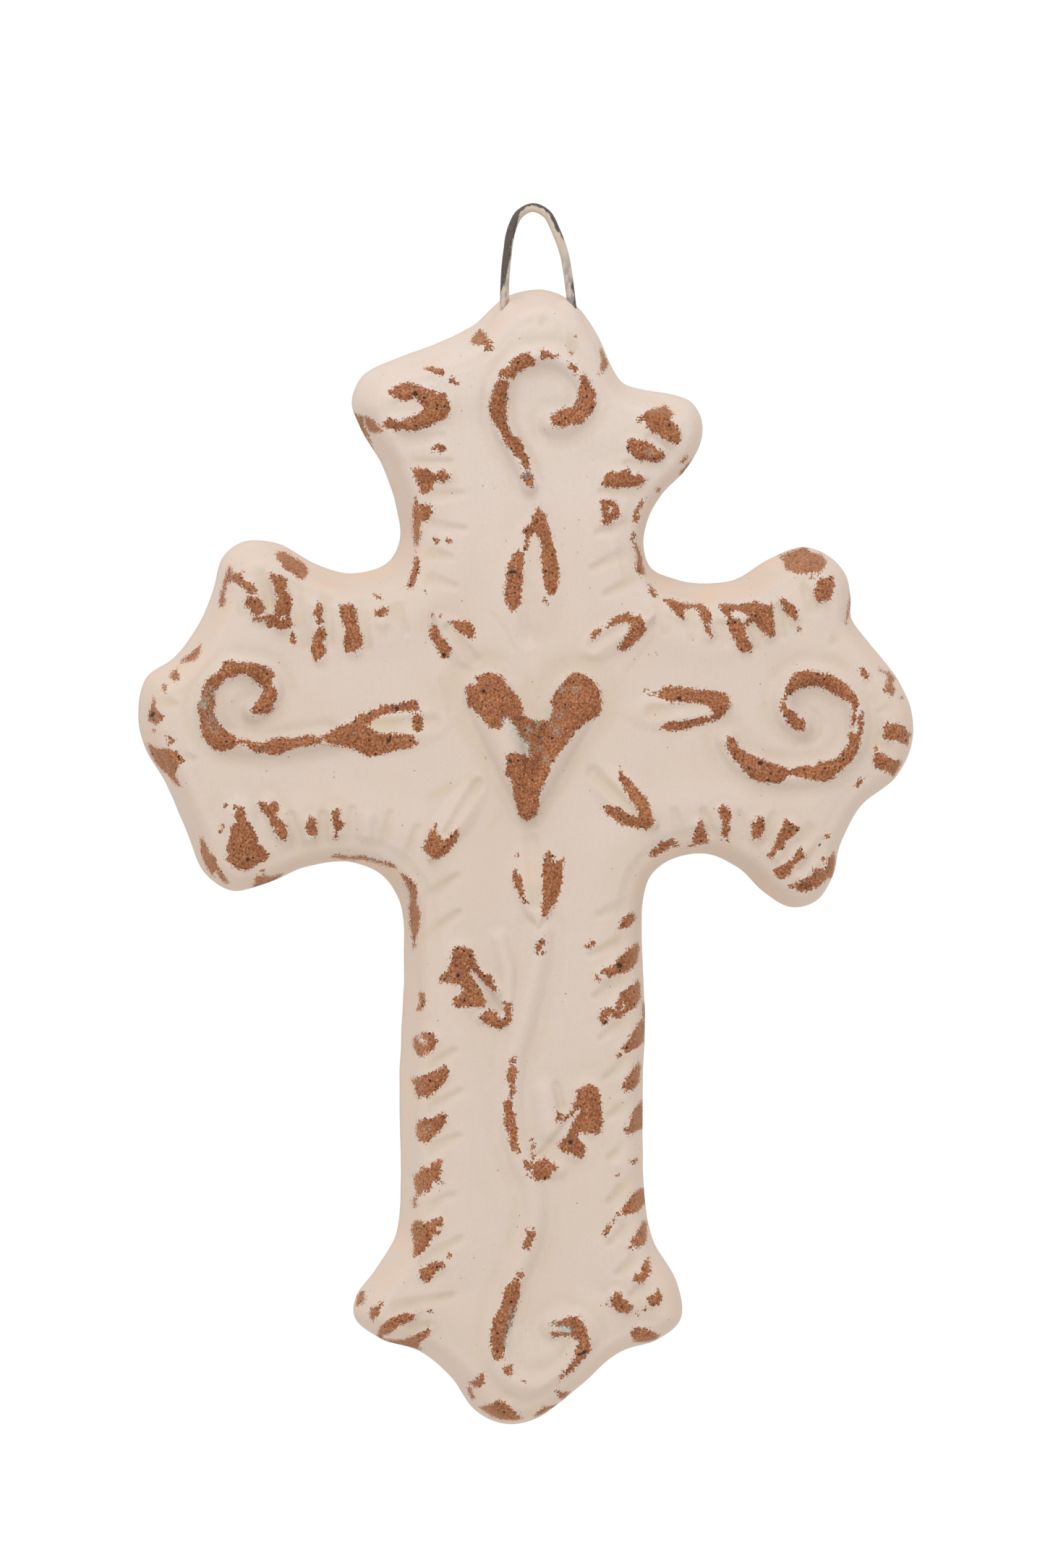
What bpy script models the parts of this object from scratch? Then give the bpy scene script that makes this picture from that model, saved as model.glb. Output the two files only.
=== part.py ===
"""Clay cross: a press-moulded terracotta cross with carved relief, hung by a loop of steel wire.

Metres, +Z up. The cross faces -Y and its flat back faces +Y. The origin is where a nail bears, at the highest
point inside the wire loop. The carving is drawn in shares: hundredths of the cross's own height, sideways from
the middle line and up from the foot.
"""
import math

import bmesh
import bpy
import numpy as np
from mathutils import Vector
from mathutils.geometry import delaunay_2d_cdt
from mathutils.kdtree import KDTree

# Clay body
CLAY_HEIGHT = 0.168
CLAY_THICKNESS = 0.0100
BACK_EDGE_RADIUS = 0.0009
WALL_LEAN = 0.0019
FACE_SHIFT_X = 0.0008
FACE_SHIFT_Z = -0.0008
RIM_RADIUS = 0.0016

# Wire loop and its two holes; the wire's seat is its share of the way from the clay's back to its face
WIRE_DIAMETER = 0.0013
WIRE_SEAT = 0.6
LOOP_REACH = 0.0112
LOOP_SPAN = 0.0100
FOOT_DROP = 0.0028
LEG_EMBED = 0.0080
LEG_CLEARANCE = 0.0003
HOLE_MOUTH = 0.0040

# Fineness of the mesh
OUTLINE_STEP = 0.0003
RING_EVERY = 9
WIRE_STEP = 0.0011
HOLE_SIDES = 16

# Places worked out from the sizes above
SHARE = CLAY_HEIGHT / 100.0
CREST_Z = -LOOP_REACH
BACK_Y = WIRE_SEAT * CLAY_THICKNESS
FACE_Y = BACK_Y - CLAY_THICKNESS
FACE_SHIFT = np.array([FACE_SHIFT_X, FACE_SHIFT_Z])

# How far apart the mesh's points are over the carving and over plain clay, in shares
STROKE_STEP = 0.95
FLUTE_STEP = 1.15
CLOSEST = 0.42
PLAIN_STEP = 2.1

# Rows of mesh points across a mound, a stroke and a groove, as shares of their half width
MOUND_ROWS = (0, 0.4, -0.4, 0.75, -0.75, 1.05, -1.05)
STROKE_ROWS = (0, 0.55, -0.55, 1.1, -1.1)
GROOVE_ROWS = (0, 1.1, -1.1)

# Ground of the face, in shares: a low crown round the heart, a raised border, and the hand's unevenness
CROWN_MIDDLE = (0.0, 62.0)
CROWN_RISE = 0.75
CROWN_SPREAD = 20.0
BORDER_RISE = 0.42
BORDER_MIDDLE = 2.6
BORDER_SPREAD = 1.9
HAND_RISE = 0.10
HAND_WAVE_X = 20.0
HAND_WAVE_Z = 27.0
RIM_FADE = 0.8
RIM_FLUTE_SHARE = 0.35

# Height in shares and rounding of each kind of carving; a rounding under one is plump, over one is slender
SCROLL_CUT = (0.95, 1.2)
MOTIF_CUT = (0.70, 1.3)
LEAF_CUT = (0.80, 0.9)
RIB_CUT = (0.45, 1.3)
PETAL_CUT = (0.95, 0.8)
HEART_CUT = (1.45, 0.7)
FLUTE_CUT = (0.60, 1.4)
GOUGE_CUT = (0.85, 1.3)

# Half widths in shares, and the gouge's as shares of its petal's
FLUTE_HALF_WIDTH = 0.55
RIB_HALF_WIDTH = 0.95
GOUGE_START = 0.34
GOUGE_END = 0.26
PETAL_LEAN = 0.85
PETAL_BLUNTNESS = 0.7

# Rings of the front, from the wall's top to the face: share of the rim's radius in, share of the relief
RIM_RINGS = [(0.0, 0.15), (0.3, 0.6), (1.0, 1.0)]

# Outline of the cross, clockwise from the crest
OUTLINE = [
    (0.2, 100), (2, 99.7), (3.8, 98.6), (5.7, 96), (6.9, 93.3), (7.9, 91.8), (9.5, 91.2), (12, 90.8),
    (13.9, 90.1), (14.9, 88.5), (14.8, 86.5), (13.5, 84.1), (11.4, 81.9), (10.1, 79.5), (9.8, 77.3),
    (10.4, 75.5), (12.8, 74.4), (15.4, 74.1), (17.9, 74.5), (20.7, 76.2), (23.7, 77.3), (26.1, 76.5),
    (27.6, 74.8), (28, 72.9), (28.1, 71), (29.6, 68.9), (32.1, 65.7), (33.4, 62.7), (33.4, 59.9),
    (32, 57), (28.9, 54.4), (27.1, 51), (26.4, 48.2), (25, 46.1), (22.8, 45.5), (20.5, 46.7),
    (17.9, 49.1), (15.2, 50.2), (12.4, 49.8), (10.4, 48.3), (9.7, 45.8), (9.7, 40.8), (9.9, 35.7),
    (9.7, 29.4), (9.9, 19.8), (10.6, 16.3), (12.8, 12.3), (13, 9.2), (10.9, 7.4), (7.6, 6.3), (4, 3.2),
    (0.1, 0.4), (-2.5, 0), (-5.1, 1.2), (-7.3, 4.2), (-10, 6.4), (-13.4, 7.5), (-15.7, 9.3),
    (-15.6, 11.3), (-14, 13.5), (-12.1, 16.8), (-11.7, 21.1), (-11.8, 30), (-11.4, 40.8), (-11.7, 45.8),
    (-13.3, 48.3), (-16.2, 49.5), (-20.2, 49), (-23.5, 47.6), (-26.6, 47), (-29, 48.6), (-30.5, 52.1),
    (-32.4, 56.5), (-34.3, 59.8), (-34.8, 62.7), (-34.1, 65.8), (-31.6, 67.6), (-29.3, 70.8),
    (-28.2, 73.6), (-27.3, 76.5), (-25.4, 77.8), (-22.4, 77.6), (-19.1, 75.8), (-16.1, 75), (-13, 75.8),
    (-11.8, 77.8), (-12.1, 80.9), (-13.3, 84.4), (-15.3, 87.9), (-16, 90.1), (-15, 92.4), (-12.1, 93.9),
    (-8.6, 95.2), (-5.2, 96.9), (-2.6, 99.2),
]

# Long round strokes: path, half width where it starts, half width where it ends
SCROLLS = {
    "top": ([(1.7, 88), (3.2, 88.2), (4.4, 89.1), (4.8, 90.4), (4.4, 91.9), (3.2, 93.1), (1.6, 93.9),
             (-0.3, 93.8), (-1.8, 92.9), (-2.7, 91.5), (-3.1, 89.6), (-2.9, 87.7), (-2, 86), (-1.1, 84.4),
             (-0.3, 82.5)], 1.3, 0.8),
    "left": ([(-24.5, 62.8), (-23.3, 63.6), (-22.8, 64.8), (-23.3, 65.9), (-24.9, 66.5), (-26.7, 66.5),
              (-28.2, 65.3), (-28.8, 63.6), (-28.6, 61.7), (-27.6, 60.2), (-25.7, 59.9), (-23.6, 59.6),
              (-21.1, 59.9), (-18.2, 60.3)], 1.2, 1.0),
    "right": ([(17, 60.3), (18, 58.6), (19.9, 57.5), (22.3, 57.1), (24.7, 57.3), (26.8, 58.1),
               (28.2, 59.9), (28.5, 61.9), (28, 64), (26.6, 65.3), (24.5, 65.9), (22.8, 65.4), (22, 64),
               (22.3, 62.4), (23.5, 61.4)], 1.25, 1.2),
    "vine": ([(0.7, 43.5), (0.5, 41.4), (0, 38.8), (-0.8, 35.6), (-1.7, 32.2), (-2, 28.7), (-1.8, 25.9),
              (-1, 23.4), (0, 21.1), (0.2, 18.6), (-0.4, 15.9), (-1.5, 13.2), (-2.4, 10.6), (-3, 8.1),
              (-3.1, 6), (-2.3, 4.5), (-0.6, 3.6), (1.5, 3.9), (3.2, 4.9), (4.3, 6.4), (4.6, 7.9),
              (4, 9), (2.8, 9.3), (1.7, 8.8)], 1.1, 1.1),
}

# Eight petals round the heart: base, tip, half width, and the gouge down the middle
PETALS = {
    "top": ((-0.6, 67.6), (0.4, 80.9), 3.2, (-0.3, 69.4), (0.1, 78.0)),
    "top right": ((3.9, 67.6), (10.7, 71.2), 1.8, (5.3, 68.6), (8.1, 70.2)),
    "right": ((7.7, 62.4), (17.4, 63.4), 2.1, (10.4, 62.7), (15.8, 63.2)),
    "lower right": ((4.8, 58.1), (10.9, 52.6), 2.0, (5.3, 57.4), (8.8, 53.9)),
    "bottom": ((0.0, 52.4), (0.5, 43.9), 2.5, (-0.1, 51.3), (0.2, 45.9)),
    "lower left": ((-4.1, 57.5), (-9.2, 49.6), 1.8, (-4.8, 56.4), (-7.6, 52.1)),
    "left": ((-6.9, 61.8), (-18.4, 60.3), 2.3, (-8.8, 61.8), (-14.3, 61.5)),
    "top left": ((-4.6, 66.5), (-8.8, 71.5), 1.8, (-5.1, 67.3), (-7.4, 70.1)),
}

# The heart is two plump strokes that meet at its tip
HEART_TIP = (-0.5, 54.0)
HEART_LOBES = [(-3.9, 64.2), (3.9, 64.0)]
HEART_LOBE_RADIUS = 2.3
HEART_TIP_RADIUS = 0.85

# Vine leaves, drawn as plump strokes: path, half width
LEAVES = [
    ([(-6.5, 41.3), (-6.1, 39.5), (-5.1, 37.4)], 1.7), ([(-5.3, 40.9), (-3.2, 38.3)], 0.8),
    ([(-4.5, 36), (-2.4, 35.7)], 0.8), ([(-2.9, 42.8), (-2.2, 39.9), (-2.2, 36)], 0.9),
    ([(4.7, 29.2), (4.9, 26.7)], 1.7), ([(3.4, 25.4), (3.8, 24.2)], 1.3), ([(1, 29.2), (1.5, 26.2)], 1.4),
    ([(-0.6, 22.9), (2.2, 22.6)], 1.0),
]
LEAF_VEINS = [((-5.7, 40.1), (-2.9, 36.6)), ((4.2, 28), (0.8, 24)), ((2, 30), (2.5, 28.1))]

# Raised motifs on the lobes, drawn the same way
MOTIFS = [
    ([(-12.5, 90.7), (-10.9, 91.1), (-9.2, 90.7), (-8.1, 89.6), (-8.6, 88.6), (-10.6, 88), (-12.8, 87.9),
      (-14.7, 87.7)], 1.0),
    ([(10.2, 88.9), (12.1, 87.2)], 1.3),
    ([(-27.3, 72.5), (-27.1, 73.9), (-26.2, 74.7), (-25.1, 73.7), (-24.3, 72.5), (-23.7, 71)], 0.8),
    ([(-22.7, 74.7), (-22.1, 73.2), (-22.1, 70.4)], 1.0), ([(-22.2, 76.3), (-20.5, 74.8)], 1.0),
    ([(-25.7, 53.7), (-25.2, 49.8)], 1.8), ([(-23.3, 54.7), (-21.9, 51.9)], 1.0),
    ([(-29, 51.1), (-28.4, 49.1), (-27, 48)], 0.7), ([(-31.6, 66), (-30.5, 67.2)], 0.8),
    ([(16.8, 71.6), (20.2, 71.5)], 1.2), ([(22.6, 75.7), (25.1, 75.7)], 1.0), ([(25.5, 74.5), (25.4, 73)], 1.0),
    ([(25.9, 49.7), (23.2, 47.6)], 1.0), ([(-13.5, 8.1), (-12.5, 8.9), (-10.5, 9.7)], 0.6),
    ([(-12.7, 7.5), (-10, 7.6), (-9.2, 8.4)], 0.6), ([(-4.1, 1.6), (-2.1, 1.6)], 1.0),
    ([(7.2, 11.3), (8.2, 10.6)], 0.9), ([(9, 8.4), (10.9, 8.4)], 0.8),
]

# Rows of flutes in the border: first flute, last flute (inner end, outer end), number
FLUTE_ROWS = {
    "crest": ((-1.7, 96.8, -1.9, 98.4), (1.0, 96.8, 1.4, 98.4), 3),
    "upper arm left": ((-7.9, 86.9, -11.3, 86.5), (-6.9, 73.7, -9.3, 74.3), 6),
    "upper right lobe": ((13.2, 89.0, 13.9, 87.7), (8.2, 84.5, 11.3, 84.0), 3),
    "upper arm right": ((6.0, 82.0, 9.5, 81.9), (6.4, 73.0, 9.3, 74.4), 4),
    "left arm top": ((-19.9, 68.4, -20.9, 73.9), (-11.1, 69.7, -12.2, 73.0), 4),
    "left arm bottom": ((-21.2, 53.7, -20.5, 50.3), (-10.1, 52.5, -11.5, 49.2), 5),
    "left end": ((-31.4, 63.4, -33.8, 64.0), (-29.8, 58.6, -32.6, 58.3), 3),
    "right arm top": ((11.6, 69.7, 11.2, 73.2), (19.6, 68.3, 19.5, 73.2), 4),
    "upper right arm lobe": ((21.9, 69.3, 21.2, 73.5), (27.1, 72.5, 26.6, 74.5), 3),
    "right end top": ((26.4, 68.8, 28.0, 70.0), (30.5, 62.7, 32.7, 63.8), 3),
    "right end bottom": ((30.5, 59.6, 32.5, 59.1), (29.4, 56.8, 31.1, 56.3), 2),
    "right arm bottom": ((12.4, 54.0, 13.2, 51.2), (21.1, 53.7, 20.5, 49.6), 4),
    "lower right arm lobe": ((24.3, 52.3, 22.3, 49.5), (25.4, 51.1, 23.6, 48.4), 2),
    "shaft left top": ((-6.6, 48.3, -9.9, 46.0), (-6.5, 45.1, -9.6, 42.7), 2),
    "shaft left": ((-7.2, 36.4, -10.0, 34.6), (-6.5, 25.5, -9.8, 24.0), 4),
    "shaft left foot": ((-7.1, 20.3, -10.4, 18.9), (-7.1, 11.5, -12.3, 10.4), 3),
    "shaft right": ((5.8, 44.9, 8.7, 46.2), (6.7, 27.2, 9.0, 29.0), 6),
    "shaft right low": ((6.7, 23.6, 9.1, 25.4), (6.7, 16.1, 9.7, 18.7), 3),
    "shaft right foot": ((7.5, 13.5, 10.0, 15.5), (8.6, 11.5, 10.6, 13.0), 2),
}

# The loop's bend: share of the span from its middle, share of the height from its feet
LOOP_BEND = [
    (-0.5, 0.0), (-0.484, 0.32), (-0.452, 0.54), (-0.399, 0.76), (-0.274, 0.935), (-0.075, 1.0),
    (0.129, 0.935), (0.266, 0.76), (0.382, 0.54), (0.441, 0.32), (0.5, 0.0),
]
LOOP_TOP_SHARE = -0.075


def smooth_path(points, per_span, closed=False):
    """A centripetal Catmull-Rom curve through the points."""
    known = np.array(points, float)
    if not closed:
        known = np.vstack([2 * known[0] - known[1], known, 2 * known[-1] - known[-2]])
    count = len(known)
    spans = range(count) if closed else range(1, count - 2)
    curve = []
    for i in spans:
        p0, p1, p2, p3 = (known[(i + k) % count] for k in (-1, 0, 1, 2))
        t1 = np.linalg.norm(p1 - p0) ** 0.5
        t2 = t1 + np.linalg.norm(p2 - p1) ** 0.5
        t3 = t2 + np.linalg.norm(p3 - p2) ** 0.5
        for t in np.linspace(t1, t2, per_span, endpoint=False):
            a1 = ((t1 - t) * p0 + t * p1) / t1
            a2 = ((t2 - t) * p1 + (t - t1) * p2) / (t2 - t1)
            a3 = ((t3 - t) * p2 + (t - t2) * p3) / (t3 - t2)
            b1 = ((t2 - t) * a1 + t * a2) / t2
            b2 = ((t3 - t) * a2 + (t - t1) * a3) / (t3 - t1)
            curve.append(((t2 - t) * b1 + (t - t1) * b2) / (t2 - t1))
    if not closed:
        curve.append(known[-2])
    return np.array(curve)


def even_steps(points, step, closed=False):
    """The same line with its points evenly spaced, about a step apart."""
    line = np.vstack([points, points[:1]]) if closed else np.asarray(points)
    along = np.concatenate([[0.0], np.cumsum(np.linalg.norm(np.diff(line, axis=0), axis=1))])
    count = max(3, round(along[-1] / step))
    marks = np.linspace(0.0, along[-1], count + 1)
    if closed:
        marks = marks[:-1]
    return np.column_stack([np.interp(marks, along, line[:, k]) for k in range(line.shape[1])])


def to_metres(points):
    """From shares of the cross's height to x and z."""
    shares = np.asarray(points, float)
    return np.column_stack([shares[:, 0] * SHARE, CREST_Z + (shares[:, 1] - 100.0) * SHARE])


def to_shares(places):
    """From x and z to shares of the cross's height."""
    return np.column_stack([places[:, 0] / SHARE, (places[:, 1] - CREST_Z) / SHARE + 100.0])


def nearness(places, path, start_radius, end_radius):
    """How far each place is from a stroke, as a share of the stroke's half width there."""
    ratio = np.full(len(places), 9.0)
    path = np.asarray(path, float)
    radii = np.linspace(start_radius, end_radius, len(path))
    reach = max(start_radius, end_radius)
    low = path.min(axis=0) - reach
    high = path.max(axis=0) + reach
    near = np.all((places > low) & (places < high), axis=1)
    spots = places[near]
    best = ratio[near]
    for a, b, ra, rb in zip(path[:-1], path[1:], radii[:-1], radii[1:]):
        run = b - a
        t = np.clip((spots - a) @ run / max(run @ run, 1e-12), 0.0, 1.0)
        gap = np.linalg.norm(spots - a - t[:, None] * run, axis=1)
        best = np.minimum(best, gap / (ra + (rb - ra) * t))
    ratio[near] = best
    return ratio


def cut_profile(ratio, cut):
    """The height of a cut of one kind at each share of its half width from its middle."""
    height, rounding = cut
    return height * np.clip(1.0 - ratio ** 2, 0.0, 1.0) ** rounding


def petal_width(t, half_width):
    """Half width of a petal at each share of its length: an almond, widest a little nearer its base."""
    return half_width * np.sin(math.pi * np.clip(t, 0.0, 1.0) ** PETAL_LEAN) ** PETAL_BLUNTNESS


def petal_nearness(places, base, tip, half_width):
    """How far each place is from a petal's middle line, as a share of its half width there."""
    a, b = np.array(base), np.array(tip)
    run = b - a
    length = np.linalg.norm(run)
    t = (places - a) @ run / length ** 2
    across = np.abs((places - a) @ np.array([-run[1], run[0]]) / length)
    return across / np.maximum(petal_width(t, half_width), 1e-6)


def flutes_of(row):
    """The flutes of one row, evenly spread from its first to its last, as pairs of ends."""
    first, last, count = row
    return [(end[:2], end[2:]) for end in np.linspace(first, last, count)]


def ribs_of(row):
    """The ribs between the flutes of one row."""
    flutes = flutes_of(row)
    return [((a + c) / 2, (b + d) / 2) for (a, b), (c, d) in zip(flutes[:-1], flutes[1:])]


def raised_work(places):
    """The carving that stands up: scrolls, motifs, leaves, ribs, petals and heart."""
    strokes = [(smooth_path(path, 5), start, end, SCROLL_CUT) for path, start, end in SCROLLS.values()]
    strokes += [(path, width, width, MOTIF_CUT) for path, width in MOTIFS]
    strokes += [(path, width, width, LEAF_CUT) for path, width in LEAVES]
    for row in FLUTE_ROWS.values():
        strokes += [(rib, RIB_HALF_WIDTH, RIB_HALF_WIDTH, RIB_CUT) for rib in ribs_of(row)]
    strokes += [((lobe, HEART_TIP), HEART_LOBE_RADIUS, HEART_TIP_RADIUS, HEART_CUT) for lobe in HEART_LOBES]
    height = np.zeros(len(places))
    for path, start, end, cut in strokes:
        height = np.maximum(height, cut_profile(nearness(places, path, start, end), cut))
    for base, tip, half_width, _, _ in PETALS.values():
        height = np.maximum(height, cut_profile(petal_nearness(places, base, tip, half_width), PETAL_CUT))
    return height


def gouged_work(places):
    """The carving that is cut in: flutes, leaf veins and the line down each petal."""
    lines = [flute for row in FLUTE_ROWS.values() for flute in flutes_of(row)] + LEAF_VEINS
    strokes = [(line, FLUTE_HALF_WIDTH, FLUTE_HALF_WIDTH, FLUTE_CUT) for line in lines]
    for _, _, half_width, start, end in PETALS.values():
        strokes.append(((start, end), GOUGE_START * half_width, GOUGE_END * half_width, GOUGE_CUT))
    depth = np.zeros(len(places))
    for path, start, end, cut in strokes:
        depth = np.maximum(depth, cut_profile(nearness(places, path, start, end), cut))
    return depth


def relief(places, from_rim):
    """How far the face stands out at each place, all in shares."""
    crown = CROWN_RISE * np.exp(-((places - CROWN_MIDDLE) ** 2).sum(axis=1) / CROWN_SPREAD ** 2)
    border = BORDER_RISE * np.exp(-((from_rim - BORDER_MIDDLE) / BORDER_SPREAD) ** 2)
    wave_x = np.sin(math.tau * places[:, 0] / HAND_WAVE_X + 1.0)
    wave_z = np.sin(math.tau * places[:, 1] / HAND_WAVE_Z + 2.0)
    fade = np.clip(from_rim / RIM_FADE, 0.0, 1.0)
    raised = crown + border + HAND_RISE * wave_x * wave_z + raised_work(places)
    return fade * raised - gouged_work(places) * (RIM_FLUTE_SHARE + (1.0 - RIM_FLUTE_SHARE) * fade)


class Outline:
    """The cross's outline as a dense line, with the way in at each of its points."""

    def __init__(self):
        line = even_steps(smooth_path(to_metres(OUTLINE), 16, closed=True), OUTLINE_STEP, closed=True)
        along = np.roll(line, -1, axis=0) - np.roll(line, 1, axis=0)
        along /= np.linalg.norm(along, axis=1)[:, None]
        self.line = line
        self.inward = np.column_stack([along[:, 1], -along[:, 0]])
        self.tree = KDTree(len(line))
        for i, (x, z) in enumerate(line):
            self.tree.insert((x, z, 0.0), i)
        self.tree.balance()

    def distance(self, places):
        """Distance of each place from the outline."""
        return np.array([self.tree.find((x, z, 0.0))[2] for x, z in places])

    def signed(self, places):
        """Distance of each place from the outline, negative outside it."""
        found = [self.tree.find((x, z, 0.0)) for x, z in places]
        near = np.array([f[1] for f in found])
        side = ((places - self.line[near]) * self.inward[near]).sum(axis=1)
        return np.where(side < 0.0, -1.0, 1.0) * np.array([f[2] for f in found])

    def ring(self, inset, shift=0.0):
        """Points of the outline moved in by inset, less those that would fold in tight bends, then shifted."""
        moved = (self.line + self.inward * inset)[::RING_EVERY]
        if inset > 0.0:
            moved = moved[self.distance(moved) > inset - 0.1 * OUTLINE_STEP]
        return moved + shift * FACE_SHIFT


def triangles(rings, places):
    """Triangles over the rings and the places inside them, as rows of indices into both together."""
    spots, edges = [], []
    for ring in rings:
        first = len(spots)
        spots += [Vector((x, z)) for x, z in ring]
        edges += [(first + i, first + (i + 1) % len(ring)) for i in range(len(ring))]
    spots += [Vector((x, z)) for x, z in places]
    verts, _, faces, sources, _, _ = delaunay_2d_cdt(spots, edges, [], 1, 1e-7)
    origin = [source[0] for source in sources]
    kept = []
    for a, b, c in faces:
        turn = (verts[b] - verts[a]).cross(verts[c] - verts[a])
        corner = (origin[a], origin[b], origin[c])
        kept.append(corner if turn > 0.0 else corner[::-1])
    return kept


def beside(path, radii, offsets):
    """Places along a stroke and at the given shares of its half width to both sides of it."""
    along = np.gradient(path, axis=0)
    along /= np.linalg.norm(along, axis=1)[:, None]
    across = np.column_stack([-along[:, 1], along[:, 0]]) * np.asarray(radii)[:, None]
    return [path + offset * across for offset in offsets]


def stroke_places(path, start_radius, end_radius, step, offsets):
    """Mesh places for one stroke, with a place beyond each end of it."""
    line = even_steps(path, step)
    rows = beside(line, np.linspace(start_radius, end_radius, len(line)), offsets)
    lead = (line[0] - line[1]) / np.linalg.norm(line[0] - line[1]) * start_radius
    tail = (line[-1] - line[-2]) / np.linalg.norm(line[-1] - line[-2]) * end_radius
    return rows + [np.array([line[0] + lead, line[-1] + tail])]


def carving_places():
    """Mesh places that follow the carving, the most telling of them first."""
    rows = []
    for lobe in HEART_LOBES:
        path = [lobe, HEART_TIP]
        rows += stroke_places(path, HEART_LOBE_RADIUS, HEART_TIP_RADIUS, STROKE_STEP, MOUND_ROWS)
    for base, tip, half_width, _, _ in PETALS.values():
        line = even_steps(np.array([base, tip]), STROKE_STEP)
        width = petal_width(np.linspace(0.0, 1.0, len(line)), half_width)
        rows += beside(line, width, MOUND_ROWS)
    for path, start, end in SCROLLS.values():
        rows += stroke_places(smooth_path(path, 5), start, end, STROKE_STEP, STROKE_ROWS)
    for path, half_width in LEAVES + MOTIFS:
        rows += stroke_places(path, half_width, half_width, STROKE_STEP, STROKE_ROWS)
    flutes = [flute for row in FLUTE_ROWS.values() for flute in flutes_of(row)]
    for line in LEAF_VEINS + flutes:
        rows += stroke_places(line, FLUTE_HALF_WIDTH, FLUTE_HALF_WIDTH, FLUTE_STEP, GROOVE_ROWS)
    rows += [even_steps(rib, FLUTE_STEP) for row in FLUTE_ROWS.values() for rib in ribs_of(row)]
    return np.vstack(rows)


def plain_places(low, high):
    """An open hexagonal grid of places for the plain clay."""
    rise = PLAIN_STEP * math.sqrt(0.75)
    row, column = np.mgrid[0:math.ceil((high[1] - low[1]) / rise), 0:math.ceil((high[0] - low[0]) / PLAIN_STEP)]
    x = low[0] + (column + 0.5 * (row % 2)) * PLAIN_STEP
    return np.column_stack([x.ravel(), (low[1] + row * rise).ravel()])


def spread_out(places, gaps):
    """The places in order, less each that is nearer than its gap to one already kept."""
    cell = max(gaps)
    kept, grid = [], {}
    for place, gap in zip(places, gaps):
        column, row = int(place[0] // cell), int(place[1] // cell)
        beside_it = [k for i in (-1, 0, 1) for j in (-1, 0, 1) for k in grid.get((column + i, row + j), [])]
        if all(math.dist(place, kept[k]) >= gap for k in beside_it):
            grid.setdefault((column, row), []).append(len(kept))
            kept.append(place)
    return np.array(kept)


def face_height(outline, places):
    """How far the face stands out from its rim plane at each place, in metres."""
    from_rim = (outline.distance(places - FACE_SHIFT) - WALL_LEAN - RIM_RADIUS) / SHARE
    return relief(to_shares(places), np.maximum(from_rim, 0.0)) * SHARE


def field_places(outline):
    """Places inside the rim: along the carving, and an open grid where the clay is plain."""
    carved = carving_places()
    plain = plain_places(carved.min(axis=0), carved.max(axis=0))
    gaps = [CLOSEST] * len(carved) + [0.75 * PLAIN_STEP] * len(plain)
    places = to_metres(spread_out(np.vstack([carved, plain]), gaps))
    return places[outline.signed(places - FACE_SHIFT) > WALL_LEAN + RIM_RADIUS + CLOSEST * SHARE]


def clay_geometry():
    """Vertices and triangles of the clay body, without the holes."""
    outline = Outline()
    edge = outline.ring(0.0)
    verts = [(x, BACK_Y - BACK_EDGE_RADIUS, z) for x, z in edge]
    front = []
    for along, share in RIM_RINGS:
        ring = outline.ring(WALL_LEAN + along * RIM_RADIUS, shift=1.0)
        rise = (1.0 - along) * RIM_RADIUS * (1.0 - along)
        height = share * face_height(outline, ring)
        verts += [(x, FACE_Y + rise - h, z) for (x, z), h in zip(ring, height)]
        front.append(ring)
    places = field_places(outline)
    height = face_height(outline, places)
    verts += [(x, FACE_Y - h, z) for (x, z), h in zip(places, height)]
    faces = triangles([edge] + front, places)

    back = outline.ring(BACK_EDGE_RADIUS)
    ahead = len(verts) - len(edge)
    verts += [(x, BACK_Y, z) for x, z in back]
    for corner in triangles([edge, back], []):
        faces.append(tuple(i if i < len(edge) else i + ahead for i in reversed(corner)))
    return verts, faces


def loop_feet():
    """Height of the loop's feet, where the legs enter the clay."""
    return CREST_Z - FOOT_DROP


def loop_path():
    """The wire's centre line, from the bottom of one leg over the arch to the bottom of the other."""
    top = WIRE_DIAMETER / 2
    rise = top - loop_feet()
    bend = [((s - LOOP_TOP_SHARE) * LOOP_SPAN, loop_feet() + h * rise) for s, h in LOOP_BEND]
    line = smooth_path(bend, 12)
    ends = []
    for foot, above in ((line[0], line[1]), (line[-1], line[-2])):
        down = (foot - above) / np.linalg.norm(foot - above)
        ends.append(foot + down * LEG_EMBED)
    return np.vstack([ends[:1], line, ends[1:]])


def material(name, colour, roughness, metallic=0.0):
    """A plain Principled material."""
    made = bpy.data.materials.new(name)
    made.use_nodes = True
    shader = made.node_tree.nodes["Principled BSDF"]
    shader.inputs["Base Color"].default_value = (*colour, 1.0)
    shader.inputs["Roughness"].default_value = roughness
    shader.inputs["Metallic"].default_value = metallic
    return made


def add_clay(parts):
    """The clay cross, one solid."""
    verts, faces = clay_geometry()
    mesh = bpy.data.meshes.new("clay_cross")
    mesh.from_pydata(verts, [], faces)
    mesh.validate()
    cross = bpy.data.objects.new("clay_cross", mesh)
    parts.objects.link(cross)
    mesh.materials.append(material("painted clay", (0.72, 0.62, 0.54), 0.9))
    mesh.shade_smooth()
    mesh.set_sharp_from_angle(angle=math.radians(50))
    return cross


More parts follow.
